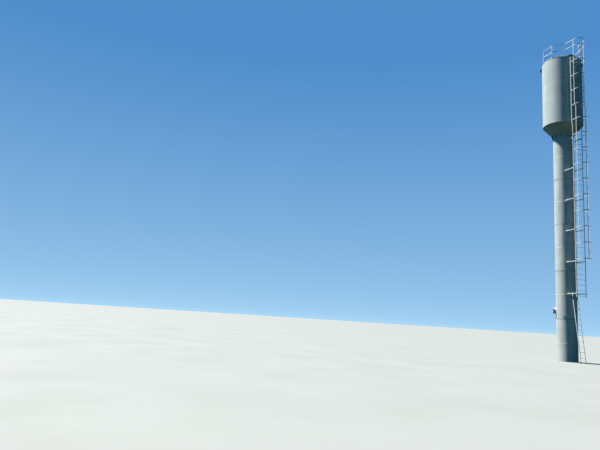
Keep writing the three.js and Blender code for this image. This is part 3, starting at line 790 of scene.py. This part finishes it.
# %% Ladder
LEG = 0.05
LEG_PLATE = 0.005
LEG_EDGE = 0.0015
RUNG_RADIUS = 0.011
RUNG_PITCH = 1 / 3
FIRST_RUNG = 4.017
RUNGS = 48
LADDER_BENDS = (14.9, 15.2)
ladder_nodes = [f"ladder_section_{k}" for k in (1, 2, 3)]
ladder_low, ladder_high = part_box(ladder_nodes[0])
half_width = ladder_high.x
rung_out = -(ladder_low.y + ladder_high.y) / 2
tank_rung_out = LEG / 2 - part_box(ladder_nodes[2])[1].y


def ladder_out(height):
    """How far the middle of the ladder is from the tower's axis at a height."""
    share = (height - LADDER_BENDS[0]) / (LADDER_BENDS[1] - LADDER_BENDS[0])
    return rung_out + (tank_rung_out - rung_out) * min(1.0, max(0.0, share))


def stile(side, low, high):
    """One stile between two heights: an angle with its front leg turned in, bent where the ladder bends."""
    back, front = ladder_high.y, ladder_low.y
    inner = half_width - LEG_PLATE
    toe = half_width - LEG
    outline = [(half_width, back), (inner, back), (inner, front + LEG_PLATE), (toe, front + LEG_PLATE),
               (toe, front), (half_width, front)]
    shape = extruded([(side * x, y, low) for x, y in outline], (0, 0, high - low))
    upright = [e for e in shape.edges if abs(e.verts[0].co.z - e.verts[1].co.z) > 0.1]
    rounded(shape, upright, LEG_EDGE)
    for bend in LADDER_BENDS:
        bmesh.ops.bisect_plane(shape, geom=shape.verts[:] + shape.edges[:] + shape.faces[:],
                               plane_co=(0, 0, bend), plane_no=(0, 0, 1))
    for corner in shape.verts:
        corner.co.y += rung_out - ladder_out(corner.co.z)
    return shape


def rung():
    """One rung along X at the ladder's plane, at height 0."""
    shape = bmesh.new()
    across = Matrix.Translation((0, -rung_out, 0)) @ Matrix.Rotation(math.pi / 2, 4, "Y")
    add_cone(shape, 16, RUNG_RADIUS, RUNG_RADIUS, 2 * half_width - LEG_PLATE, across)
    return shape


def rung_weld(side):
    """The fillet weld where a rung meets a stile, at height 0."""
    wall = side * (half_width - LEG_PLATE + 0.0005)
    root = RUNG_RADIUS - MILLIMETRE
    points = [(wall, root), (wall, root + 0.007), (wall - side * 0.006, root)]
    return turned([(x, -rung_out, z) for x, z in points], (0, -rung_out, 0), (1, 0, 0), 12)


rung_total = 0
for node in ladder_nodes:
    low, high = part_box(node)
    heights = [FIRST_RUNG + k * RUNG_PITCH for k in range(RUNGS)]
    lifts = [Matrix.Translation((0, rung_out - ladder_out(z), z)) for z in heights
             if low.z + RUNG_RADIUS < z < high.z - RUNG_RADIUS]
    rung_total += len(lifts)
    length = gathered([stile(-1, low.z, high.z), stile(1, low.z, high.z), copies(rung(), lifts)])
    finished(node.replace("ladder_section", "ladder_length"), length, rail_enamel, [node])
    welds = gathered([copies(rung_weld(side), lifts) for side in (-1, 1)])
    finished(node.replace("ladder_section", "rung_welds"), welds, weld_enamel)
print("ladder", round(2 * half_width, 3), "m wide with", rung_total, "rungs")

# %% [markdown]
# ## Cage
# The safety cage is flat bar, 40 mm by 5 mm. Each hoop runs from beside the stiles to the side strips and
# then bends half round. Three strips join the hoops on the inside. A hoop starts as one small rectangle at
# the side strip. Spin carries it half round, and two extrusions carry its ends back to the ladder.

# %% Cage
FLAT_WIDTH = 0.04
FLAT_PLATE = 0.005
HOOP_RADIUS = 0.37
HOOP_END_BACK = 0.015
HOOP_PITCH = 1.004
FIRST_HOOP = 6.25
HOOPS = 14
HOOP_STEPS = 36
LOW_HOOP_CENTRE = 1.797
TOP_HOOP_CENTRE = 1.69
JOGGLE = (16.1, 16.27)
GUARD_HEIGHTS = (20.32, 20.73)
STRIP_SEAT = 0.361
guard_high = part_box("cage_section_3")[1]


def flat_hoop(end_x, end_out, centre_out, height):
    """A hoop of flat bar, open towards the ladder."""
    shape = bmesh.new()
    low, high = height - FLAT_WIDTH / 2, height + FLAT_WIDTH / 2
    inner = HOOP_RADIUS - FLAT_PLATE
    section = [(inner, low), (HOOP_RADIUS, low), (HOOP_RADIUS, high), (inner, high)]
    corners, edges = outlined(shape, [(x, -centre_out, z) for x, z in section])
    swung = bmesh.ops.spin(shape, geom=corners + edges, cent=(0, -centre_out, 0), axis=(0, 0, 1),
                           angle=-math.pi, steps=HOOP_STEPS)
    for side, rim_edges in ((1, edges), (-1, only(swung["geom_last"], bmesh.types.BMEdge))):
        grown = bmesh.ops.extrude_edge_only(shape, edges=rim_edges)["geom"]
        shift = Vector((side * (end_x - HOOP_RADIUS), centre_out - end_out, 0))
        bmesh.ops.translate(shape, vec=shift, verts=only(grown, bmesh.types.BMVert))
        bmesh.ops.holes_fill(shape, edges=only(grown, bmesh.types.BMEdge), sides=4)
    bmesh.ops.recalc_face_normals(shape, faces=shape.faces)
    return shape


def cage_strip(centres, inner, outer, thickness, x):
    """A strip of flat bar along the hoops' centres, drawn edge on and then given its thickness along X."""
    near = [(centre + inner, z) for z, centre in centres]
    far = [(centre + outer, z) for z, centre in reversed(centres)]
    return extruded([(x - thickness / 2, -out, z) for out, z in near + far], (thickness, 0, 0))


def cage_strips(centres):
    """The front strip and the two side strips of one length of cage."""
    strips = [cage_strip(centres, STRIP_SEAT, STRIP_SEAT + FLAT_PLATE, FLAT_WIDTH, 0)]
    for side in (-1, 1):
        x = side * (STRIP_SEAT + FLAT_PLATE / 2)
        strips.append(cage_strip(centres, -FLAT_WIDTH / 2, FLAT_WIDTH / 2, FLAT_PLATE, x))
    return strips


hoop_heights = [FIRST_HOOP + k * HOOP_PITCH for k in range(HOOPS)]
ladder_end_x = half_width + 0.0003 + FLAT_PLATE
for number in (1, 2, 3):
    node = f"cage_section_{number}"
    low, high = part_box(node)
    centre = TOP_HOOP_CENTRE if number == 3 else LOW_HOOP_CENTRE
    bars = [flat_hoop(ladder_end_x, ladder_out(z) - HOOP_END_BACK, centre, z) for z in hoop_heights
            if low.z < z < high.z]
    if number == 3:
        bars += [flat_hoop(guard_high.x, -guard_high.y, centre, z) for z in GUARD_HEIGHTS]
        bars += cage_strips([(JOGGLE[0], LOW_HOOP_CENTRE), (JOGGLE[1], centre), (high.z, centre)])
    else:
        bars += cage_strips([(low.z, centre), (high.z, centre)])
    finished(f"cage_length_{number}", gathered(bars), rail_enamel, [node])
print("cage with", HOOPS, "hoops, top at", round(guard_high.z, 2), "m")

# %% [markdown]
# ## Bolts
# Hexagon bolts hold the manhole cover, the hoops, the arms and the splices. A head is a cone with six sides
# and equal ends, bevelled on top, on a thin round washer. A nut is the same with the bolt's end poking out.
# Each is made once, standing on height 0, and copied to every place where it is needed. Their sizes are
# shares of the width across the flats.

# %% Bolts
WASHER_TALL = 0.1
HEAD_TALL = 0.62
NUT_TALL = 0.8
NUT_POKE = 0.3


def hexagon(across, tall, poke=0.0):
    """A bolt head or nut on its washer. The bolt's end sticks out of it by a given length."""
    washer = WASHER_TALL * across
    shape = bmesh.new()
    corner_radius = across / math.sqrt(3)
    add_cone(shape, 6, corner_radius, corner_radius, tall, Matrix.Translation((0, 0, washer + tall / 2)))
    rim_edges = [e for e in shape.edges if min(v.co.z for v in e.verts) > washer + 0.9 * tall]
    rounded(shape, rim_edges, 0.08 * across)
    add_cone(shape, 20, 0.66 * across, 0.64 * across, washer, Matrix.Translation((0, 0, washer / 2)))
    if poke:
        end_at = Matrix.Translation((0, 0, washer + tall))
        add_cone(shape, 12, 0.3 * across, 0.26 * across, 2 * poke, end_at)
    return shape


def bolted(places, across, grip):
    """Bolts through plates. A place is a point on the outer plate and the way out of it."""
    heads = copies(hexagon(across, HEAD_TALL * across), [pointing(point, way) for point, way in places])
    nuts = copies(hexagon(across, NUT_TALL * across, NUT_POKE * across),
                  [pointing(point - way * grip, -way) for point, way in places])
    return gathered([heads, nuts])


# %% [markdown]
# ## Manhole and drain
# The manhole is a short pipe with a flange and a blind cover, closed by sixteen bolts on a rubber gasket. All
# of it is spun about one axis in a frame of its own, where +Z points out of the column, and then taken to its
# bearing. Where the pipe and its fillet weld meet the column, their corners slide onto the round wall. The
# drain is a threaded steel socket. Its thread is drawn as grooves, at twice the real pitch.

# %% Manhole and drain
NECK_RADIUS = 0.185
NECK_WALL = 0.005
FLANGE_OUT = 0.75
FLANGE_PLATE = 0.012
COVER_BOLTS = 16
BOLT_CIRCLE = 0.2055
COVER_BOLT = 0.019
GASKET_PROUD = 0.002
COVER_EDGE = 0.0015
COVER_HANDLE = (0.07, 0.045, 0.007)
THREADS = 8
THREAD_PITCH = 0.0046
THREAD_DEPTH = 0.0012
DRAIN_OUT = 0.68
FILLET_LEG = 0.008


def onto_wall(shape, limit):
    """Slides the corners nearer than a limit outwards onto the column, for a fitting drawn along +Z."""
    for corner in shape.verts:
        if corner.co.z < limit:
            corner.co.z += math.sqrt(column_radius ** 2 - corner.co.x ** 2) - MILLIMETRE
    return shape


def fillet(radius, place):
    """A fillet weld round a pipe of a given radius where it stands on the column."""
    foot = radius + FILLET_LEG
    outline = [(radius - 0.002, -0.002), (foot, -0.002), (foot, 0.001),
               (radius + 0.35 * FILLET_LEG, 0.4 * FILLET_LEG), (radius, FILLET_LEG)]
    return placed(onto_wall(spun(outline, 64), 1), place)


manhole = pointing(Vector((0, 0, manhole_height)), from_axis(manhole_bearing, 1, 0))
neck_inner = NECK_RADIUS - NECK_WALL
flange_back = FLANGE_OUT - FLANGE_PLATE
flange_soft = flange_radius - MILLIMETRE
neck = spun([(neck_inner, 0), (NECK_RADIUS, 0), (NECK_RADIUS, flange_back), (flange_soft, flange_back),
             (flange_radius, flange_back + MILLIMETRE), (flange_radius, FLANGE_OUT - MILLIMETRE),
             (flange_soft, FLANGE_OUT), (neck_inner, FLANGE_OUT)], FITTING_STEPS)
neck = placed(onto_wall(neck, 0.1), manhole)
finished("manhole_pipe", neck, column_enamel, ["manhole_neck"])
gasket_edge = flange_radius + GASKET_PROUD
gasket = spun([(neck_inner, FLANGE_OUT - MILLIMETRE), (gasket_edge, FLANGE_OUT - MILLIMETRE),
               (gasket_edge, FLANGE_OUT + MILLIMETRE), (neck_inner, FLANGE_OUT + MILLIMETRE)], FITTING_STEPS)
finished("manhole_gasket", placed(gasket, manhole), rubber)
cover_back = FLANGE_OUT + 0.0008
cover_face = FLANGE_OUT + FLANGE_PLATE
cover = spun([(ON_AXIS, cover_back), (flange_soft, cover_back), (flange_radius, FLANGE_OUT + 0.002),
              (flange_radius, cover_face - COVER_EDGE), (flange_radius - COVER_EDGE, cover_face),
              (ON_AXIS, cover_face)], FITTING_STEPS)
cover = gathered([cover, handle(0, cover_face, *COVER_HANDLE)])
finished("manhole_cover_plate", placed(cover, manhole), rail_enamel, ["manhole_cover"])
turns = [k * 2 * math.pi / COVER_BOLTS for k in range(COVER_BOLTS)]
studs = [(Vector((BOLT_CIRCLE * math.cos(turn), BOLT_CIRCLE * math.sin(turn), cover_face)), Vector((0, 0, 1)))
         for turn in turns]
bolts = placed(bolted(studs, COVER_BOLT, 2 * FLANGE_PLATE), manhole)
finished("manhole_bolts", bolts, plated_zinc)
drain = pointing(Vector((0, 0, drain_height)), from_axis(drain_bearing, 1, 0))
grooves = []
for k in range(THREADS):
    out = DRAIN_OUT - 0.003 - k * THREAD_PITCH
    grooves += [(DRAIN_BORE + THREAD_DEPTH, out), (DRAIN_BORE - THREAD_DEPTH, out - THREAD_PITCH / 2)]
socket = spun([(DRAIN_BORE, 0), (drain_radius, 0), (drain_radius, DRAIN_OUT - 0.002),
               (drain_radius - 0.002, DRAIN_OUT), (DRAIN_BORE + 0.002, DRAIN_OUT), *grooves], 48)
socket = placed(onto_wall(socket, 0.1), drain)
# Painted shade: the drain socket is dark for the shade in and round its bore.
finished("drain_pipe_socket", socket, primer_painted_shade, ["drain_socket"])
fillets = gathered([fillet(NECK_RADIUS, manhole), fillet(drain_radius, drain)])
finished("fitting_fillets", fillets, weld_enamel)
print("manhole at", round(manhole_height, 3), "with", COVER_BOLTS, "bolts, drain at", round(drain_height, 3))

# %% [markdown]
# ## Welds and bolts on the ladder, the cage and the lugs
# Each arm is welded to the wall along its upright leg and its top, and two bolts hold a stile to it. Each
# hoop has a bolt at both ends, and a rivet joins it to every strip. A plate with four bolts splices the
# ladder's lengths. The lugs' pads are welded all round.

# %% Ladder, cage and lug joints
ARM_BOLT = 0.019
ARM_BOLT_AT = (-0.012, 0.014)
ARM_GRIP = 0.0105
ARM_WELD = 0.0055
RIVET_RADIUS = 0.011
SPLICE_SIZE = (0.005, 0.038, 0.27)
SPLICE_BOLTS = (-0.118, -0.088, 0.045, 0.118)
LUG_BEARINGS = (-126, 54)
PAD_HALF_WIDTH = 0.09
PAD_PLATE = 0.01
PAD_WELD = 0.007
LUG_HALF_PLATE = 0.0125
LUG_WELD = 0.008


def on_wall(radius, x, height):
    """The point of a round wall, on the ladder's side, at an offset to one side of the ladder's plane."""
    return Vector((x, -math.sqrt(radius ** 2 - x ** 2), height))


def weld_chain(points, thickness):
    """A straight bead between each point and the next."""
    return [weld_line(a, b, thickness) for a, b in zip(points, points[1:])]


def ladder_bolts(name, bolts):
    """Makes the bolts that hold something to the stiles. A bolt is a point and a side of the ladder."""
    places = [(point, Vector((side, 0, 0))) for point, side in bolts]
    finished(name, bolted(places, ARM_BOLT, ARM_GRIP), plated_zinc)


seams, bolts = [], []
for node in arm_nodes:
    low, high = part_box(node)
    side = 1 if high.x > 0 else -1
    outer, toe = (high.x, low.x) if side > 0 else (low.x, high.x)
    wall = column_radius if high.z < column_top else tank_radius
    along = [on_wall(wall, outer + (toe - outer) * share, high.z) for share in (0, 0.5, 1)]
    seams += weld_chain([on_wall(wall, outer, low.z), *along], ARM_WELD)
    web = Vector((side * half_width, -ladder_out(high.z), high.z - LEG / 2))
    bolts += [(web + Vector((0, shift, 0)), side) for shift in ARM_BOLT_AT]
finished("arm_welds", gathered(seams), weld_enamel)
ladder_bolts("arm_bolts", bolts)

bolts, rivets = [], []
for z in hoop_heights:
    centre = Vector((0, -TOP_HOOP_CENTRE if z > JOGGLE[1] else -LOW_HOOP_CENTRE, z))
    bolts += [(Vector((side * ladder_end_x, -ladder_out(z) - 0.004, z)), side) for side in (-1, 1)]
    for out in (Vector((-1, 0, 0)), Vector((1, 0, 0)), Vector((0, -1, 0))):
        rivets.append(rod(centre + out * (STRIP_SEAT - 0.003), centre + out * (HOOP_RADIUS + 0.004),
                          RIVET_RADIUS))
ladder_bolts("hoop_bolts", bolts)
finished("cage_rivets", gathered(rivets), rail_enamel)

plates, bolts = [], []
for node in ladder_nodes[:2]:
    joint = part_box(node)[1].z
    below = FIRST_RUNG + math.floor((joint - FIRST_RUNG) / RUNG_PITCH) * RUNG_PITCH
    middle = below + RUNG_PITCH / 2
    for side in (-1, 1):
        centre = Vector((side * (half_width - LEG_PLATE - SPLICE_SIZE[0] / 2), -rung_out + 0.003, middle))
        plates.append(block(SPLICE_SIZE, Matrix.Translation(centre), MILLIMETRE))
        bolts += [(Vector((side * half_width, centre.y, middle + shift)), side) for shift in SPLICE_BOLTS]
finished("ladder_splices", gathered(plates), rail_enamel)
ladder_bolts("splice_bolts", bolts)

seams = []
for node, bearing in zip(lug_nodes, LUG_BEARINGS):
    low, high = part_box(node)
    turn = Matrix.Rotation(math.radians(bearing), 3, "Z")
    wall = on_wall(tank_radius, PAD_HALF_WIDTH, 0).y - 0.002
    around = ((-1, low.z), (1, low.z), (1, high.z), (-1, high.z), (-1, low.z))
    seams += weld_chain([turn @ Vector((side * PAD_HALF_WIDTH, wall, z)) for side, z in around], PAD_WELD)
    for side in (-1, 1):
        root = [Vector((side * LUG_HALF_PLATE, -tank_radius - PAD_PLATE, z))
                for z in (low.z + 0.03, high.z - 0.03)]
        seams += weld_chain([turn @ corner for corner in root], LUG_WELD)
# The lug welds share the lugs' painted shade.
finished("lug_welds", gathered(seams), primer_painted_shade)
print("joints made")

# %% [markdown]
# ## Railing feet and caps
# Each post of the railing stands on a square foot with four screws and is closed by a low pyramid. The flat
# rails are welded to the posts on both faces.

# %% Railing joints
POSTS = 9
POST_HALF = 0.015
FOOT_SIZE = (0.066, 0.066, 0.006)
FOOT_SCREW = 0.012
FOOT_SCREW_AT = 0.024
CAP_TALL = 0.006
RAILS_ABOVE = (0.1, 0.51, 0.94)
RAIL_HALF_PLATE = 0.0025
RAIL_WELD = 0.0035
RAIL_WELD_HALF = Vector((0, 0, 0.018))
railing_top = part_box(rail_nodes[0])[1].z
railing_radius = farthest(rail_nodes[0]) - 1.02 * POST_HALF
end_bearing = math.degrees(math.asin(guard_high.x / railing_radius))
post_bearings = steps_between(end_bearing, 360 - end_bearing, POSTS - 1)
feet, screws, caps, seams = [], [], [], []
for bearing in post_bearings:
    turn = Matrix.Rotation(math.radians(bearing), 4, "Z")
    at_foot = turn @ Matrix.Translation((0, -railing_radius, roof_edge))
    feet.append(block(FOOT_SIZE, at_foot @ Matrix.Translation((0, 0, FOOT_SIZE[2] / 2)), MILLIMETRE))
    screws += [at_foot @ Matrix.Translation((x, y, FOOT_SIZE[2])) for x in (-FOOT_SCREW_AT, FOOT_SCREW_AT)
               for y in (-FOOT_SCREW_AT, FOOT_SCREW_AT)]
    cap = bmesh.new()
    at_cap = turn @ Matrix.Translation((0, -railing_radius, railing_top + CAP_TALL / 2))
    add_cone(cap, 4, POST_HALF * math.sqrt(2) + MILLIMETRE, POST_HALF * 0.9, CAP_TALL,
             at_cap @ Matrix.Rotation(math.pi / 4, 4, "Z"))
    caps.append(cap)
for start, end in zip(post_bearings, post_bearings[1:]):
    for above in RAILS_ABOVE:
        ends = [from_axis(b, railing_radius, roof_low.z + above) for b in (start, end)]
        run = (ends[1] - ends[0]).normalized()
        side = Vector((run.y, -run.x, 0)) * RAIL_HALF_PLATE
        for place, inward in ((ends[0], run), (ends[1], -run)):
            for face in (-1, 1):
                root = place + inward * (POST_HALF + MILLIMETRE) + side * face
                seams.append(weld_line(root - RAIL_WELD_HALF, root + RAIL_WELD_HALF, RAIL_WELD))
finished("post_feet", gathered(feet), rail_enamel)
finished("post_screws", copies(hexagon(FOOT_SCREW, 0.6 * FOOT_SCREW), screws), plated_zinc)
finished("post_caps", gathered(caps), rail_enamel)
finished("rail_welds", gathered(seams), weld_enamel)
print("railing with", len(post_bearings), "posts from bearing", round(end_bearing, 1))

# %% [markdown]
# ## Access ladder, rest bar and base
# The leaning ladder is a plain straight one of box section. Its rungs pass through the stiles and are flared
# outside them, and black rubber shoes keep it from sliding. The rest bar is round, and the base is a flat
# plate as wide as the column.

# %% Access ladder, rest bar and base plate
ACCESS_FOOT_OUT = 1.44
ACCESS_TOP_OUT = 0.79
ACCESS_TOP = 4.23
ACCESS_HALF = 0.16
ACCESS_STILE = (0.022, 0.05)
ACCESS_EDGE = 0.003
ACCESS_PITCH = 0.33
# The collars of a rung: on which face of the stile, from where to where, and their radius.
COLLARS = ((-1, (-0.004, 0.001), 0.016), (1, (-0.001, 0.003), 0.014))
SHOE_SIZE = (0.03, 0.062, 0.07)
SHOE_EDGE = 0.004
access_ladder = softened("access_ladder", ACCESS_EDGE)
finished("leaning_ladder", access_ladder, rail_enamel, ["access_ladder"])
lean_angle = math.atan2(ACCESS_FOOT_OUT - ACCESS_TOP_OUT, ACCESS_TOP)
collars, shoes = [], []
for side in (-1, 1):
    for k in range(1, int(ACCESS_TOP / ACCESS_PITCH) + 1):
        height = k * ACCESS_PITCH
        out = ACCESS_FOOT_OUT + (ACCESS_TOP_OUT - ACCESS_FOOT_OUT) * height / ACCESS_TOP
        for face, reach, radius in COLLARS:
            x = side * (ACCESS_HALF + face * ACCESS_STILE[0] / 2)
            ends = [Vector((x + side * shift, -out, height)) for shift in reach]
            collars.append(rod(*ends, radius))
    at_shoe = Matrix.Translation((side * ACCESS_HALF, -ACCESS_FOOT_OUT + 0.005, SHOE_SIZE[2] / 2 + 0.0005))
    shoes.append(block(SHOE_SIZE, at_shoe, SHOE_EDGE))
finished("rung_collars", gathered(collars), rail_enamel)
finished("ladder_shoes", gathered(shoes), rubber)
bar_low, bar_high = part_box("rest_bar")
bar_middle = (bar_low + bar_high) / 2
bar_reach = Vector(((bar_high.x - bar_low.x) / 2, 0, 0))
rest_bar = rod(bar_middle - bar_reach, bar_middle + bar_reach, (bar_high.z - bar_low.z) / 2, 24)
finished("round_rest_bar", rest_bar, rail_enamel, ["rest_bar"])
base_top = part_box("base_plate")[1].z
base = spun([(ON_AXIS, 0), (column_radius, 0), (column_radius, base_top), (ON_AXIS, base_top)], WALL_STEPS)
finished("base_disc", base, column_enamel, ["base_plate"])
print("access ladder leans", round(math.degrees(lean_angle), 1), "degrees")

# %% [markdown]
# ## Floor and light
# A plain pale floor and a key light stand in for a studio. The key comes from the left and high up, as the
# shading on the round walls asks. The floor sends no light to the steel. The world does: pale blue from above
# and olive from below, and all of it stronger on the side of the key, where hazy air is brighter too. A
# camera ray sees a plain soft blue backdrop instead, paler near the floor.

# %% Floor, key light and world
FLOOR_SIZE = 800
KEY_BEARING = CAMERA_BEARING - 90
KEY_ELEVATION = 59
KEY_WIDTH = 4
KEY_STRENGTH = 8.7
KEY_COLOUR = (1.0, 0.96, 0.9)
FILL_ABOVE = (0.013, 0.135, 0.29, 1.0)
FILL_BELOW = (0.03, 0.046, 0.002, 1.0)
FILL_CHANGE = 0.06
FILL_TOWARDS_KEY = 1.6
FILL_AWAY = 0.5
BACKDROP_PALE = "#aad8f8"
BACKDROP_DEEP = "#508ecb"
BACKDROP_REACH = 0.45
bpy.ops.mesh.primitive_plane_add(size=FLOOR_SIZE)
floor = bpy.context.object
floor.name = "floor"
floor.data.materials.append(brushed_finish("pale_studio_floor", "#9a9d99", "#959894", 3.0, 0.8, 0.0))
floor.visible_diffuse = False
floor.visible_glossy = False
floor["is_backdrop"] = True

key = bpy.data.objects.new("key_light", bpy.data.lights.new("key_light", "SUN"))
key.data.energy = KEY_STRENGTH
key.data.color = KEY_COLOUR
key.data.angle = math.radians(KEY_WIDTH)
elevation = math.radians(KEY_ELEVATION)
towards_key = from_axis(KEY_BEARING, math.cos(elevation), math.sin(elevation))
key.rotation_euler = towards_key.to_track_quat("Z", "Y").to_euler()
bpy.context.scene.collection.objects.link(key)

world = bpy.data.worlds.new("studio")
world.use_nodes = True
tree = world.node_tree
direction = add_node(tree, "ShaderNodeTexCoord", {}, {})
parts = add_node(tree, "ShaderNodeSeparateXYZ", {}, {0: direction.outputs["Generated"]})
above = add_node(tree, "ShaderNodeMapRange", {},
                 {0: parts.outputs["Z"], 1: -FILL_CHANGE, 2: FILL_CHANGE, 3: 0.0, 4: 1.0})
fill = add_node(tree, "ShaderNodeMix", {"data_type": "RGBA"},
                {0: above.outputs[0], 6: FILL_BELOW, 7: FILL_ABOVE})
key_side = add_node(tree, "ShaderNodeVectorMath", {"operation": "DOT_PRODUCT"},
                    {0: direction.outputs["Generated"], 1: from_axis(KEY_BEARING, 1.0, 0.0)})
swell = add_node(tree, "ShaderNodeMapRange", {},
                 {0: key_side.outputs["Value"], 1: -1.0, 2: 1.0, 3: FILL_AWAY, 4: FILL_TOWARDS_KEY})
uneven = add_node(tree, "ShaderNodeVectorMath", {"operation": "SCALE"},
                  {0: fill.outputs[2], "Scale": swell.outputs[0]})
height = add_node(tree, "ShaderNodeMapRange", {},
                  {0: parts.outputs["Z"], 1: 0.0, 2: BACKDROP_REACH, 3: 0.0, 4: 1.0})
deepening = add_node(tree, "ShaderNodeMath", {"operation": "POWER"}, {0: height.outputs[0], 1: 0.5})
backdrop = add_node(tree, "ShaderNodeMix", {"data_type": "RGBA"},
                    {0: deepening.outputs[0], 6: paint(BACKDROP_PALE), 7: paint(BACKDROP_DEEP)})
rays = add_node(tree, "ShaderNodeLightPath", {}, {})
seen = add_node(tree, "ShaderNodeMix", {"data_type": "RGBA"},
                {0: rays.outputs["Is Camera Ray"], 6: uneven.outputs[0], 7: backdrop.outputs[2]})
tree.links.new(seen.outputs[2], tree.nodes["Background"].inputs["Color"])
bpy.context.scene.world = world
bpy.context.scene.view_settings.view_transform = "Standard"
print("key light towards", [round(v, 2) for v in towards_key])

# %% [markdown]
# ## Size of the dressed tower
# The dressed tower has to stay as large as the CAD model. Its box is printed.

# %% Sizes and finish
low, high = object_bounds()
print("visual box", [round(v, 3) for v in low], [round(v, 3) for v in high])
